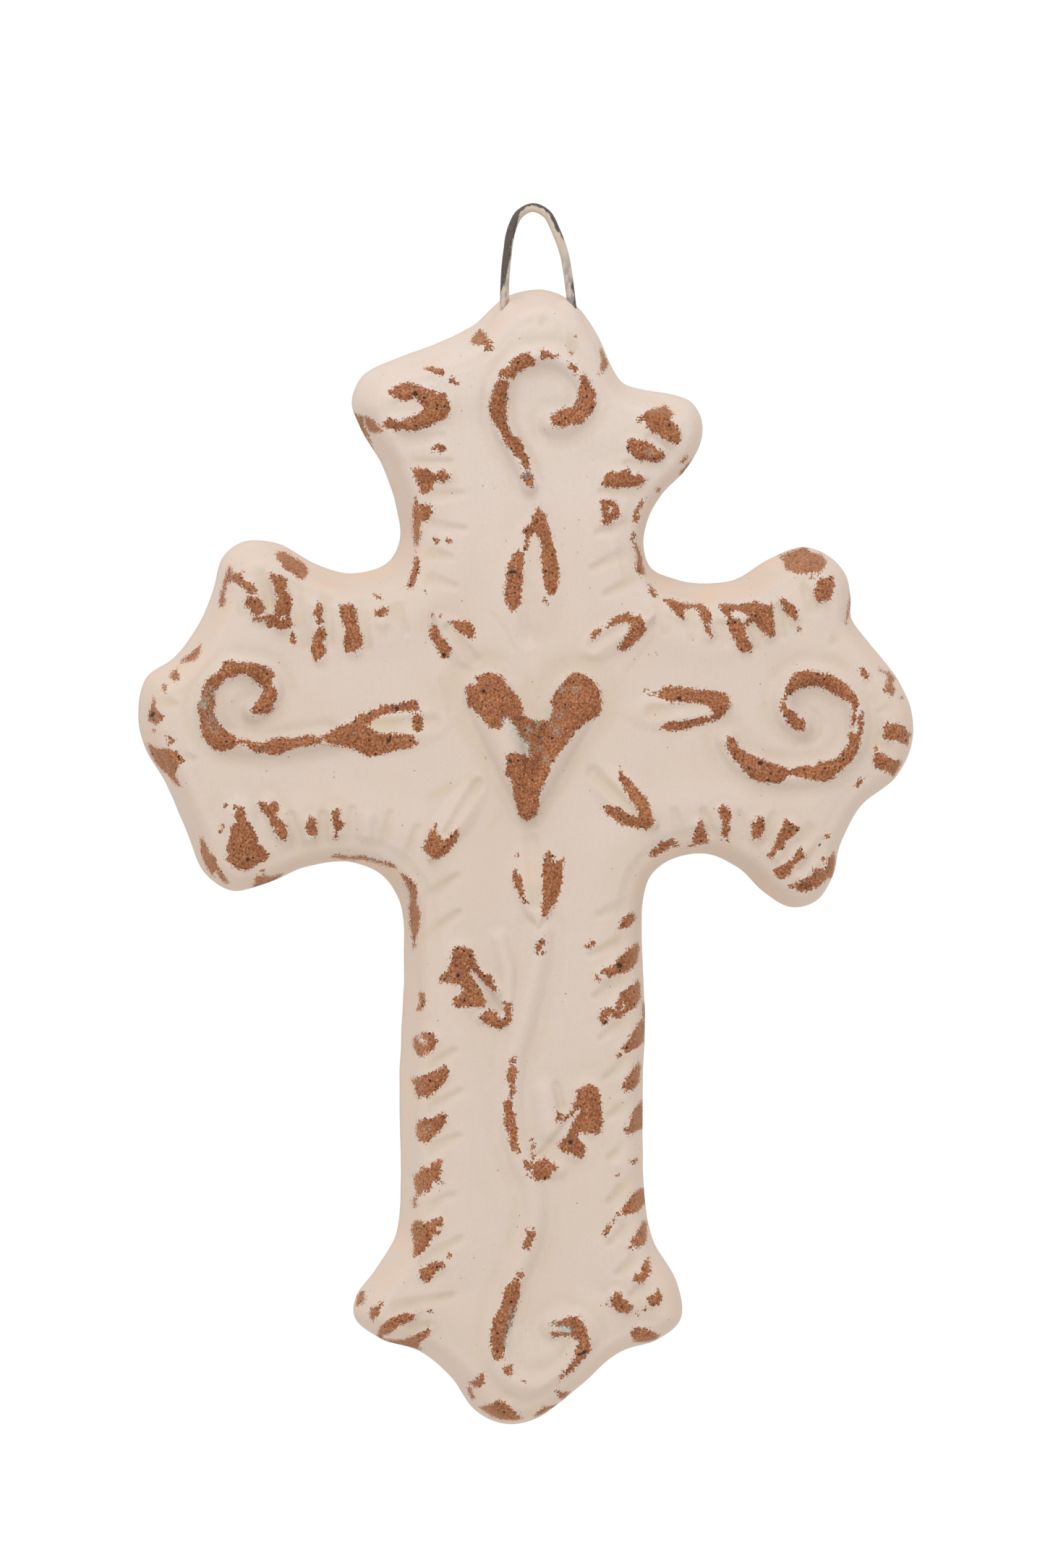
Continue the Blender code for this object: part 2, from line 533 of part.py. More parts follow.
def add_leg_holes(cross, cutters):
    """Two blind holes that the wire's legs sit in, a clearance wider and deeper than the legs."""
    path = loop_path()
    for name, end, foot in (("left", path[0], path[1]), ("right", path[-1], path[-2])):
        along = Vector((foot[0] - end[0], 0.0, foot[1] - end[1])).normalized()
        bottom = Vector((end[0], 0.0, end[1])) - along * LEG_CLEARANCE
        depth = LEG_EMBED + LEG_CLEARANCE + HOLE_MOUTH
        mesh = bpy.data.meshes.new("leg_hole_" + name)
        shape = bmesh.new()
        radius = WIRE_DIAMETER / 2 + LEG_CLEARANCE
        bmesh.ops.create_cone(shape, cap_ends=True, segments=HOLE_SIDES, radius1=radius, radius2=radius,
                              depth=depth)
        shape.to_mesh(mesh)
        shape.free()
        cutter = bpy.data.objects.new("leg_hole_" + name, mesh)
        cutters.objects.link(cutter)
        cutter.location = bottom + along * depth / 2
        cutter.rotation_euler = along.to_track_quat("Z", "Y").to_euler()
        cutter.hide_render = True
        cutter.display_type = "WIRE"
        cut = cross.modifiers.new("leg hole " + name, "BOOLEAN")
        cut.operation = "DIFFERENCE"
        cut.solver = "EXACT"
        cut.object = cutter


def add_loop(parts):
    """The steel wire loop."""
    curve = bpy.data.curves.new("wire_loop", "CURVE")
    curve.dimensions = "3D"
    curve.bevel_depth = WIRE_DIAMETER / 2
    curve.bevel_resolution = 2
    curve.use_fill_caps = True
    points = even_steps(loop_path(), WIRE_STEP)
    spline = curve.splines.new("POLY")
    spline.points.add(len(points) - 1)
    for point, (x, z) in zip(spline.points, points):
        point.co = (x, 0.0, z, 1.0)
    loop = bpy.data.objects.new("wire_loop", curve)
    parts.objects.link(loop)
    curve.materials.append(material("steel wire", (0.16, 0.16, 0.17), 0.45, 0.8))


def collection(name):
    """A new collection in the scene."""
    made = bpy.data.collections.new(name)
    bpy.context.scene.collection.children.link(made)
    return made


def main():
    for old in list(bpy.data.objects):
        bpy.data.objects.remove(old, do_unlink=True)
    parts = collection("clay cross")
    cutters = collection("cutters")
    cross = add_clay(parts)
    add_leg_holes(cross, cutters)
    add_loop(parts)
    bpy.context.view_layer.update()


main()
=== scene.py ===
"""Looks of the clay cross: carved clay with its chalky, rubbed-back paint, the painted wire, and the stage.

The file is laid out as an add-on and run as a script. Metres, +Z up. The cross faces -Y and hangs from the
origin, the highest point inside the wire loop. The carving and the bare patches are drawn in shares. A share
is a hundredth of the clay's own height, sideways from the middle line or up from the foot.
"""
import math

import bpy
import numpy as np
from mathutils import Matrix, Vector, noise
from mathutils.geometry import delaunay_2d_cdt
from mathutils.kdtree import KDTree


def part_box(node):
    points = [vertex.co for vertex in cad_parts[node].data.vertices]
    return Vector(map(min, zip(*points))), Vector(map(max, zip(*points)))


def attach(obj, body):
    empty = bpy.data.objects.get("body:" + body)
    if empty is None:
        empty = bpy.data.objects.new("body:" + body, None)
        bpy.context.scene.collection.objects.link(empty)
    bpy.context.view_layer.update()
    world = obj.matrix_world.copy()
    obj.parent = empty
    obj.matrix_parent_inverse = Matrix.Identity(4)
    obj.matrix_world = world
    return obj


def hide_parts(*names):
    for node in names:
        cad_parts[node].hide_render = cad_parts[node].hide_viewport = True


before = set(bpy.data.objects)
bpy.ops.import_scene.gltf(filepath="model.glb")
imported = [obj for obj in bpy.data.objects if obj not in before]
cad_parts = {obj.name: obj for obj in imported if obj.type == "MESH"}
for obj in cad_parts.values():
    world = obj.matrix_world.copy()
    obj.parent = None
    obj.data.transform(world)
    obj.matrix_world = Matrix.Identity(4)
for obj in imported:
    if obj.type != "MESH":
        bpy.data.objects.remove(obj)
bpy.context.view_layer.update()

bl_info = {
    "name": "Clay Cross",
    "version": (1, 0, 0),
    "blender": (4, 5, 0),
    "location": "3D View > Sidebar > Clay Cross",
    "description": "Builds the carved clay cross, its wire loop and a plain studio round them",
    "category": "Object",
}

# The clay and the wire as the frame gives them
CLAY_LOW, CLAY_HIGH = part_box("clay_cross")
WIRE_LOW, WIRE_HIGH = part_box("wire_loop")
SHARE = (CLAY_HIGH.z - CLAY_LOW.z) / 100.0
CREST_Z = CLAY_HIGH.z
BACK_Y = CLAY_HIGH.y
WIRE_RADIUS = (WIRE_HIGH.y - WIRE_LOW.y) / 2
MM = 0.001

# Stands for a distance or depth that is too far off to matter
FAR = 9.0

# The photograph's frame: width and height in pixels, and the pixel where the nail would bear
PHOTO_SIZE = (1445, 2168)
PHOTO_ORIGIN = (737, 293)
METRES_PER_PIXEL = 0.0001068

# Rings of the mesh across the back edge, the wall and the rim, each as shares of the way across
BACK_RINGS = (0.4, 0.75, 1.0)
WALL_RINGS = (0.0, 0.18, 0.36, 0.48, 0.58, 0.68, 0.78, 0.89)
RIM_RINGS = (0.0, 0.2, 0.45, 0.72, 1.0)

# How many times closer the outline's own points lie than a ring's, and how many are drawn between two corners
RING_EVERY = 3
OUTLINE_FINENESS = 16

# A ring's point is dropped where it comes this much nearer the outline than it should
RING_SLACK = 0.03 * MM

# Gaps left between the innermost ring and the mesh places inside it, as shares of their step
FACE_GRID_GAP = 0.6
BACK_GRID_GAP = 0.4

# The edge's waver, and the back's hollows and scrapes: size of the lumps, and share of the back's unevenness
WAVER_SIZE = 3.2 * MM
BACK_HOLLOWS = (14 * MM, 0.7)
BACK_SCRAPES = (2.6 * MM, 0.3)
SCRAPE_STRETCH = (1.0, 1.0, 0.12)

# How the noise's start is moved along for each seed
NOISE_STRIDE = (17.3, 5.9, 11.1)

# What the triangulation keeps, and the gap below which it would merge two places
INSIDE_ONLY = 1
MERGE_GAP = 1e-8

# Ground of the face, in shares: a low crown round the heart, a raised border, and the hand's unevenness
CROWN_MIDDLE = (0.0, 62.0)
CROWN_SPREAD = 20.0
BORDER_MIDDLE = 2.6
BORDER_SPREAD = 1.9
HAND_LUMPS = ((13.0, 0.10), (4.5, 0.035), (1.6, 0.010))

# How relief dies out at the rim: the width of its fade in shares, what is left of the flutes and of all
# relief at the edge, and how fast it comes in over the rounding
RIM_FADE = 0.8
RIM_FLUTE_SHARE = 0.35
RIM_RELIEF = 0.15
RIM_EASE = 2.3

# Height in shares and rounding of each kind of carving; a rounding under one is plump, over one is slender
SCROLL_CUT = (0.88, 1.6)
MOTIF_CUT = (0.60, 1.8)
RIB_CUT = (0.34, 1.8)
VINE_CUT = (0.62, 1.6)
LEAF_CUT = (0.42, 1.8)
HEART_CUT = (1.25, 1.0)
PETAL_CUT = (0.78, 1.5)
FLUTE_CUT = (0.23, 1.7)
GOUGE_CUT = (0.38, 1.9)
SCORE_CUT = (0.09, 1.5)

# The shallow dip that the tool leaves beside raised work: middle and spread in half widths and share of its
# height, and the height of the work over which it fades out
MOAT = (1.35, 0.42, 0.10)
MOAT_FADE = 0.2

# Half widths of flutes and scored lines in shares
FLUTE_WIDE_END = 0.95
FLUTE_NARROW_END = 0.50
SCORE_HALF_WIDTH = 0.3

# The gouge's half width at its two ends against the petal's, the petal's form, and where it is fully raised
GOUGE_START = 0.46
GOUGE_END = 0.34
PETAL_LEAN = 0.85
PETAL_BLUNTNESS = 0.7
PETAL_RISE_BY = 0.55

# The wire's bend, as the frame's wire has it: its span, its feet's height over the clay's crest, how far into
# its hole each leg is drawn, and how many points are drawn between two of its places
LOOP_SPAN = 0.0100
WIRE_FOOT_RISE = -0.0028
LEG_DEPTH_SHARE = 0.97
BEND_FINENESS = 12

# The small mound of clay round each leg: its height and spread, and how far below the crest it fades out
COLLAR_RISE = 0.0026
COLLAR_SPREAD = 0.0018
COLLAR_FADE = 0.010

# Amounts along the wire's way from the left foot to the right: how much of its width is bare steel from its
# outer side, then how stained it is, and then how rusty on its inner side
STEEL_SHOWS = (
    (0.0, -0.3), (0.06, 0.0), (0.09, 0.35), (0.13, 0.62), (0.18, 0.80), (0.26, 0.88), (0.33, 1.0),
    (0.38, 0.95), (0.42, 0.58), (0.46, 0.34), (0.50, 0.28), (0.54, 0.26), (0.57, 0.38), (0.61, 0.48),
    (0.65, 0.40), (0.69, 0.12), (0.73, -0.2), (0.88, -0.2), (0.91, 0.30), (0.93, 0.05), (0.96, 0.10),
    (1.0, 0.2),
)
FOOT_STAIN = ((0.0, 1.0), (0.12, 0.7), (0.22, 0.0), (0.74, 0.0), (0.86, 0.8), (1.0, 1.0))
FOOT_RUST = ((0.025, 0.8), (0.045, 0.0))

# The cosine of the turn round the wire below which rust begins, the size of the wire's lumps, and how far
# under its feet the wire still counts as showing
RUST_TURN = -0.1
SWELL_SIZE = 1.4 * MM
FOOT_MARGIN = 0.2 * MM

# Rings and sides of the round floor's mesh
FLOOR_RINGS = 12
FLOOR_SIDES = 96

# Outline of the cross, clockwise from the crest
OUTLINE = [
    (0.2, 100), (2, 99.7), (3.8, 98.6), (5.7, 96), (6.9, 93.3), (7.9, 91.8), (9.5, 91.2), (12, 90.8),
    (13.9, 90.1), (14.9, 88.5), (14.8, 86.5), (13.5, 84.1), (11.4, 81.9), (10.1, 79.5), (9.8, 77.3),
    (10.4, 75.5), (12.8, 74.4), (15.4, 74.1), (17.9, 74.5), (20.7, 76.2), (23.7, 77.3), (26.1, 76.5),
    (27.6, 74.8), (28, 72.9), (28.1, 71), (29.6, 68.9), (32.1, 65.7), (33.4, 62.7), (33.4, 59.9),
    (32, 57), (28.9, 54.4), (27.1, 51), (26.4, 48.2), (25, 46.1), (22.8, 45.5), (20.5, 46.7),
    (17.9, 49.1), (15.2, 50.2), (12.4, 49.8), (10.4, 48.3), (9.7, 45.8), (9.7, 40.8), (9.9, 35.7),
    (9.7, 29.4), (9.9, 19.8), (10.6, 16.3), (12.8, 12.3), (13, 9.2), (10.9, 7.4), (7.6, 6.3), (4, 3.2),
    (0.1, 0.4), (-2.5, 0), (-5.1, 1.2), (-7.3, 4.2), (-10, 6.4), (-13.4, 7.5), (-15.7, 9.3),
    (-15.6, 11.3), (-14, 13.5), (-12.1, 16.8), (-11.7, 21.1), (-11.8, 30), (-11.4, 40.8), (-11.7, 45.8),
    (-13.3, 48.3), (-16.2, 49.5), (-20.2, 49), (-23.5, 47.6), (-26.6, 47), (-29, 48.6), (-30.5, 52.1),
    (-32.4, 56.5), (-34.3, 59.8), (-34.8, 62.7), (-34.1, 65.8), (-31.6, 67.6), (-29.3, 70.8),
    (-28.2, 73.6), (-27.3, 76.5), (-25.4, 77.8), (-22.4, 77.6), (-19.1, 75.8), (-16.1, 75), (-13, 75.8),
    (-11.8, 77.8), (-12.1, 80.9), (-13.3, 84.4), (-15.3, 87.9), (-16, 90.1), (-15, 92.4), (-12.1, 93.9),
    (-8.6, 95.2), (-5.2, 96.9), (-2.6, 99.2),
]

# Long round strokes: path, half width where it starts, half width where it ends
SCROLLS = {
    "top": ([(1.7, 88), (3.2, 88.2), (4.4, 89.1), (4.8, 90.4), (4.4, 91.9), (3.2, 93.1), (1.6, 93.9),
             (-0.3, 93.8), (-1.8, 92.9), (-2.7, 91.5), (-3.1, 89.6), (-2.9, 87.7), (-2, 86), (-1.1, 84.4),
             (-0.3, 82.5)], 1.3, 0.8),
    "left": ([(-24.5, 62.8), (-23.3, 63.6), (-22.8, 64.8), (-23.3, 65.9), (-24.9, 66.5), (-26.7, 66.5),
              (-28.2, 65.3), (-28.8, 63.6), (-28.6, 61.7), (-27.6, 60.2), (-25.7, 59.9), (-23.6, 59.6),
              (-21.1, 59.9), (-18.2, 60.3)], 1.2, 1.0),
    "right": ([(17, 60.3), (18, 58.6), (19.9, 57.5), (22.3, 57.1), (24.7, 57.3), (26.8, 58.1),
               (28.2, 59.9), (28.5, 61.9), (28, 64), (26.6, 65.3), (24.5, 65.9), (22.8, 65.4), (22, 64),
               (22.3, 62.4), (23.5, 61.4)], 1.25, 1.2),
    "vine": ([(0.7, 43.5), (0.5, 41.4), (0, 38.8), (-0.8, 35.6), (-1.7, 32.2), (-2, 28.7), (-1.8, 25.9),
              (-1, 23.4), (0, 21.1), (0.2, 18.6), (-0.4, 15.9), (-1.5, 13.2), (-2.4, 10.6), (-3, 8.1),
              (-3.1, 6), (-2.3, 4.5), (-0.6, 3.6), (1.5, 3.9), (3.2, 4.9), (4.3, 6.4), (4.6, 7.9),
               (4, 9), (2.8, 9.3), (1.7, 8.8)], 1.3, 1.3),
}

# Eight petals round the heart: base, tip, half width, and the gouge down the middle
PETALS = {
    "top": ((-0.6, 67.6), (0.4, 80.9), 3.2, (-0.3, 69.4), (0.1, 78.0)),
    "top right": ((3.9, 67.6), (10.7, 71.2), 1.8, (5.3, 68.6), (8.1, 70.2)),
    "right": ((7.7, 62.4), (17.4, 63.4), 2.1, (10.4, 62.7), (15.8, 63.2)),
    "lower right": ((4.8, 58.1), (10.9, 52.6), 2.0, (5.3, 57.4), (8.8, 53.9)),
    "bottom": ((0.0, 52.4), (0.5, 43.9), 2.5, (-0.1, 51.3), (0.2, 45.9)),
    "lower left": ((-4.1, 57.5), (-9.2, 49.6), 1.8, (-4.8, 56.4), (-7.6, 52.1)),
    "left": ((-6.9, 61.8), (-18.4, 60.3), 2.3, (-8.8, 61.8), (-14.3, 61.5)),
    "top left": ((-4.6, 66.5), (-8.8, 71.5), 1.8, (-5.1, 67.3), (-7.4, 70.1)),
}

# The heart is two plump strokes that meet at its tip
HEART_TIP = (-0.5, 54.0)
HEART_LOBES = [(-3.9, 64.2), (3.9, 64.0)]
HEART_LOBE_RADIUS = 2.3
HEART_TIP_RADIUS = 0.85
HEART_BLEND = 0.22

# Vine leaves, drawn as plump strokes: path, half width
LEAVES = [
    ([(-6.5, 41.3), (-6.1, 39.5), (-5.1, 37.4)], 1.7), ([(-5.3, 40.9), (-3.2, 38.3)], 0.8),
    ([(-4.5, 36), (-2.4, 35.7)], 0.8), ([(-2.9, 42.8), (-2.2, 39.9), (-2.2, 36)], 0.9),
    ([(4.7, 29.2), (4.9, 26.7)], 1.7), ([(3.4, 25.4), (3.8, 24.2)], 1.3), ([(1, 29.2), (1.5, 26.2)], 1.4),
    ([(-0.6, 22.9), (2.2, 22.6)], 1.0),
]
LEAF_VEINS = [((-5.7, 40.1), (-2.9, 36.6)), ((4.2, 28), (0.8, 24)), ((2, 30), (2.5, 28.1))]

# Raised motifs on the lobes, drawn the same way
MOTIFS = [
    ([(-12.5, 90.7), (-10.9, 91.1), (-9.2, 90.7), (-8.1, 89.6), (-8.6, 88.6), (-10.6, 88), (-12.8, 87.9),
      (-14.7, 87.7)], 1.0),
    ([(10.2, 88.9), (12.1, 87.2)], 1.3),
    ([(-27.3, 72.5), (-27.1, 73.9), (-26.2, 74.7), (-25.1, 73.7), (-24.3, 72.5), (-23.7, 71)], 0.8),
    ([(-22.7, 74.7), (-22.1, 73.2), (-22.1, 70.4)], 1.0), ([(-22.2, 76.3), (-20.5, 74.8)], 1.0),
    ([(-25.7, 53.7), (-25.2, 49.8)], 1.8), ([(-23.3, 54.7), (-21.9, 51.9)], 1.0),
    ([(-29, 51.1), (-28.4, 49.1), (-27, 48)], 0.7), ([(-31.6, 66), (-30.5, 67.2)], 0.8),
    ([(16.8, 71.6), (20.2, 71.5)], 1.2), ([(22.6, 75.7), (25.1, 75.7)], 1.0),
    ([(25.5, 74.5), (25.4, 73)], 1.0),
    ([(25.9, 49.7), (23.2, 47.6)], 1.0), ([(-13.5, 8.1), (-12.5, 8.9), (-10.5, 9.7)], 0.6),
    ([(-12.7, 7.5), (-10, 7.6), (-9.2, 8.4)], 0.6), ([(-4.1, 1.6), (-2.1, 1.6)], 1.0),
    ([(7.2, 11.3), (8.2, 10.6)], 0.9), ([(9, 8.4), (10.9, 8.4)], 0.8),
]

# Ribs between the border's flutes: path, half width
RIBS = [
    ([(9, 86), (11, 85.3)], 1.1), ([(6.7, 83.2), (9.2, 83.2)], 1), ([(6.5, 81), (6.7, 79.5)], 0.9),
    ([(9.3, 77.2), (9.5, 75.1)], 0.6), ([(-10.3, 83.7), (-7.7, 83.4)], 1),
    ([(-10.2, 80.9), (-9.2, 80.1)], 0.9), ([(-10.5, 76.1), (-10.7, 74.2)], 0.6),
    ([(-19, 72), (-18.7, 67.4)], 0.8), ([(-16.3, 71.8), (-15.7, 68.2)], 1),
    ([(-13.3, 71.8), (-13.2, 70.6)], 0.9), ([(-19.6, 53.1), (-19.5, 51.7)], 0.8),
    ([(-17.4, 53.9), (-17.4, 51.7)], 0.8), ([(-14.4, 53.5), (-14.7, 50.7)], 0.8),
    ([(-33.2, 62.7), (-32.7, 62)], 1), ([(-33.2, 59.1), (-31.6, 58.1)], 1), ([(12, 72.2), (13, 71.2)], 0.8),
    ([(13.7, 72), (14.9, 71.6), (15.5, 69.4)], 0.7), ([(17.7, 71.2), (18.6, 68.4)], 0.9),
    ([(20.4, 70.9), (20.7, 69.5)], 0.8), ([(22.1, 72.3), (22.9, 71)], 0.8), ([(31, 66), (31.3, 64.5)], 0.9),
    ([(31.3, 61.2), (32.4, 60.1)], 1.1), ([(30.5, 59), (31.6, 57.9)], 1),
    ([(10.7, 50.2), (12.6, 51.1)], 0.8), ([(14.6, 52.8), (14.8, 51.3)], 0.9),
    ([(16.7, 54.2), (16.8, 51.6)], 0.7), ([(19.7, 53.2), (19.7, 51.7)], 0.8),
    ([(22.6, 52.7), (21.2, 50.1)], 0.9), ([(23.3, 50.3), (21.8, 48.7)], 1),
    ([(-10.4, 47.8), (-10.3, 43.5)], 0.6), ([(-9.9, 38.1), (-9.9, 36.7)], 0.6),
    ([(-10.3, 33.4), (-8.8, 34)], 1), ([(-10, 29.6), (-7.9, 31)], 1), ([(-9.8, 25.8), (-8.1, 27)], 1),
    ([(-10, 21.4), (-8.5, 22.8)], 1), ([(-10.2, 16), (-8.5, 17.8)], 1), ([(-9.6, 13.3), (-8.2, 14.1)], 0.8),
    ([(7.9, 44.1), (9, 44.9)], 0.8), ([(6.2, 39.7), (9.1, 41.6)], 0.9), ([(6.4, 36.2), (9.2, 38.5)], 1),
    ([(7.9, 33.1), (9.6, 35.3)], 0.9), ([(8.2, 29.9), (9.2, 31.6)], 0.9), ([(8.2, 26.2), (9.5, 28.1)], 0.9),
    ([(7.9, 22.9), (9.3, 24.3)], 0.8), ([(7.9, 18.6), (9.6, 20.2)], 1), ([(8.8, 15.9), (10, 17.3)], 0.8),
    ([(9.1, 13), (10.1, 14.4)], 0.8), ([(10.2, 10.9), (11.1, 11.9)], 0.8),
    ([(-14.2, 9.7), (-13.4, 10.7)], 0.6), ([(-5.5, 3.6), (-4.5, 4.3)], 0.6),
    ([(0.7, 1.4), (2.9, 2.8)], 0.6),
]

# Flutes of the border, each from one end to the other
FLUTES = [
    (-0.3, 98.3, -0.3, 96.9), (-1.7, 98.2, -1.3, 96.8), (1.3, 98.2, 0.8, 96.8), (3.8, 97.4, 3.4, 94.3),
    (-11.3, 86.5, -7.9, 86.9), (-11.3, 84.3, -7.3, 84.6), (-9.5, 81.5, -6.2, 81.8), (-9.5, 79, -6, 78.7),
    (-9.5, 76.8, -7.2, 76.2), (-9, 74.3, -6.9, 73.7), (13.2, 89, 13.7, 87.7), (10.2, 86.8, 12.8, 84.7),
    (8.2, 84.5, 11.1, 84.2), (6, 82, 9.7, 81.9), (5.7, 78.4, 8.8, 79.3), (5.3, 75.3, 8.7, 76.9),
    (6.4, 73, 9.3, 74.4), (-20.9, 73.7, -19.9, 68.4), (-18.1, 73, -17.7, 68.4),
    (-15.2, 72.1, -14.4, 68.3), (-12, 71.8, -11.1, 69.7), (-26.4, 73, -25.4, 71.2),
    (-23.6, 74.5, -22.8, 72.1), (-21.2, 53.7, -20.5, 50.7), (-18.4, 53.8, -18.5, 51),
    (-15.8, 54.2, -15.9, 50.3), (-12.5, 53.8, -13.2, 50.1), (-10.1, 52.5, -11.1, 49.6),
    (-33.6, 64, -31.4, 63.4), (-33.9, 61, -32.2, 60.6), (-31.2, 58.5, -29.8, 58.6),
    (11.4, 72.1, 11.6, 69.7), (13.7, 70.9, 14, 69.2), (16.3, 70.3, 16.9, 68.7), (19.5, 69.9, 19.6, 68.3),
    (21.2, 71.6, 21.9, 69.3), (23.7, 73.7, 24.5, 71.8), (26.6, 74.5, 27.1, 72.5),
    (26.4, 68.8, 27.4, 70.6), (29.4, 65.2, 30.3, 66.6), (30.5, 62.7, 32.7, 63.8),
    (30.5, 59.6, 32.5, 59.1), (29.4, 56.8, 31.1, 56.3), (12.4, 54, 13.2, 51.4), (14.9, 54, 15.8, 51.4),
    (18.1, 53.8, 18.4, 51.2), (21.1, 53.7, 20.5, 51.4), (24.3, 52.3, 22.3, 49.7),
    (25.4, 51.1, 23.6, 48.8), (-9.7, 46, -6.6, 48.3), (-9, 43, -6.5, 45.1), (-10.2, 34.8, -9.1, 35.9),
    (-9.7, 31.2, -6.9, 33), (-9.3, 27.6, -6.4, 29.4), (-9.3, 24.2, -6.5, 25.5),
    (-10.2, 18.9, -7.1, 20.3), (-9.5, 14.6, -6.4, 16.5), (-12.3, 10.4, -7.1, 11.5), (-12, 8, -9.3, 8.9),
    (5.8, 44.9, 8.6, 46), (5.1, 41.4, 9.2, 43.2), (5.5, 37.8, 8.6, 39.8), (6, 34.1, 9.3, 36.4),
    (6.4, 30.6, 8.8, 32.4), (6.7, 27.2, 9.2, 28.9), (6.7, 23.6, 9.1, 25.4), (6.7, 19.8, 9.5, 22.4),
    (6.7, 16.1, 9.7, 18.7), (7.5, 13.5, 10, 15.5), (8.6, 11.5, 10.6, 13),
]

# Fine scored lines round the heart
SCORES = [
    [(-3.6, 71.3), (-2.3, 69.6), (-1.7, 68.2)], [(-8.1, 65.6), (-7.6, 64.2), (-7.1, 62.7)],
    [(8.3, 66.2), (9.6, 67.9), (10.4, 69.2)], [(24.6, 62.8), (25.6, 61.6), (24.9, 60.2), (23.1, 59.8)],
    [(30.2, 64.5), (30.6, 61.9), (30.1, 59.6)], [(2.4, 6.2), (3.0, 7.1), (2.4, 7.8)],
]

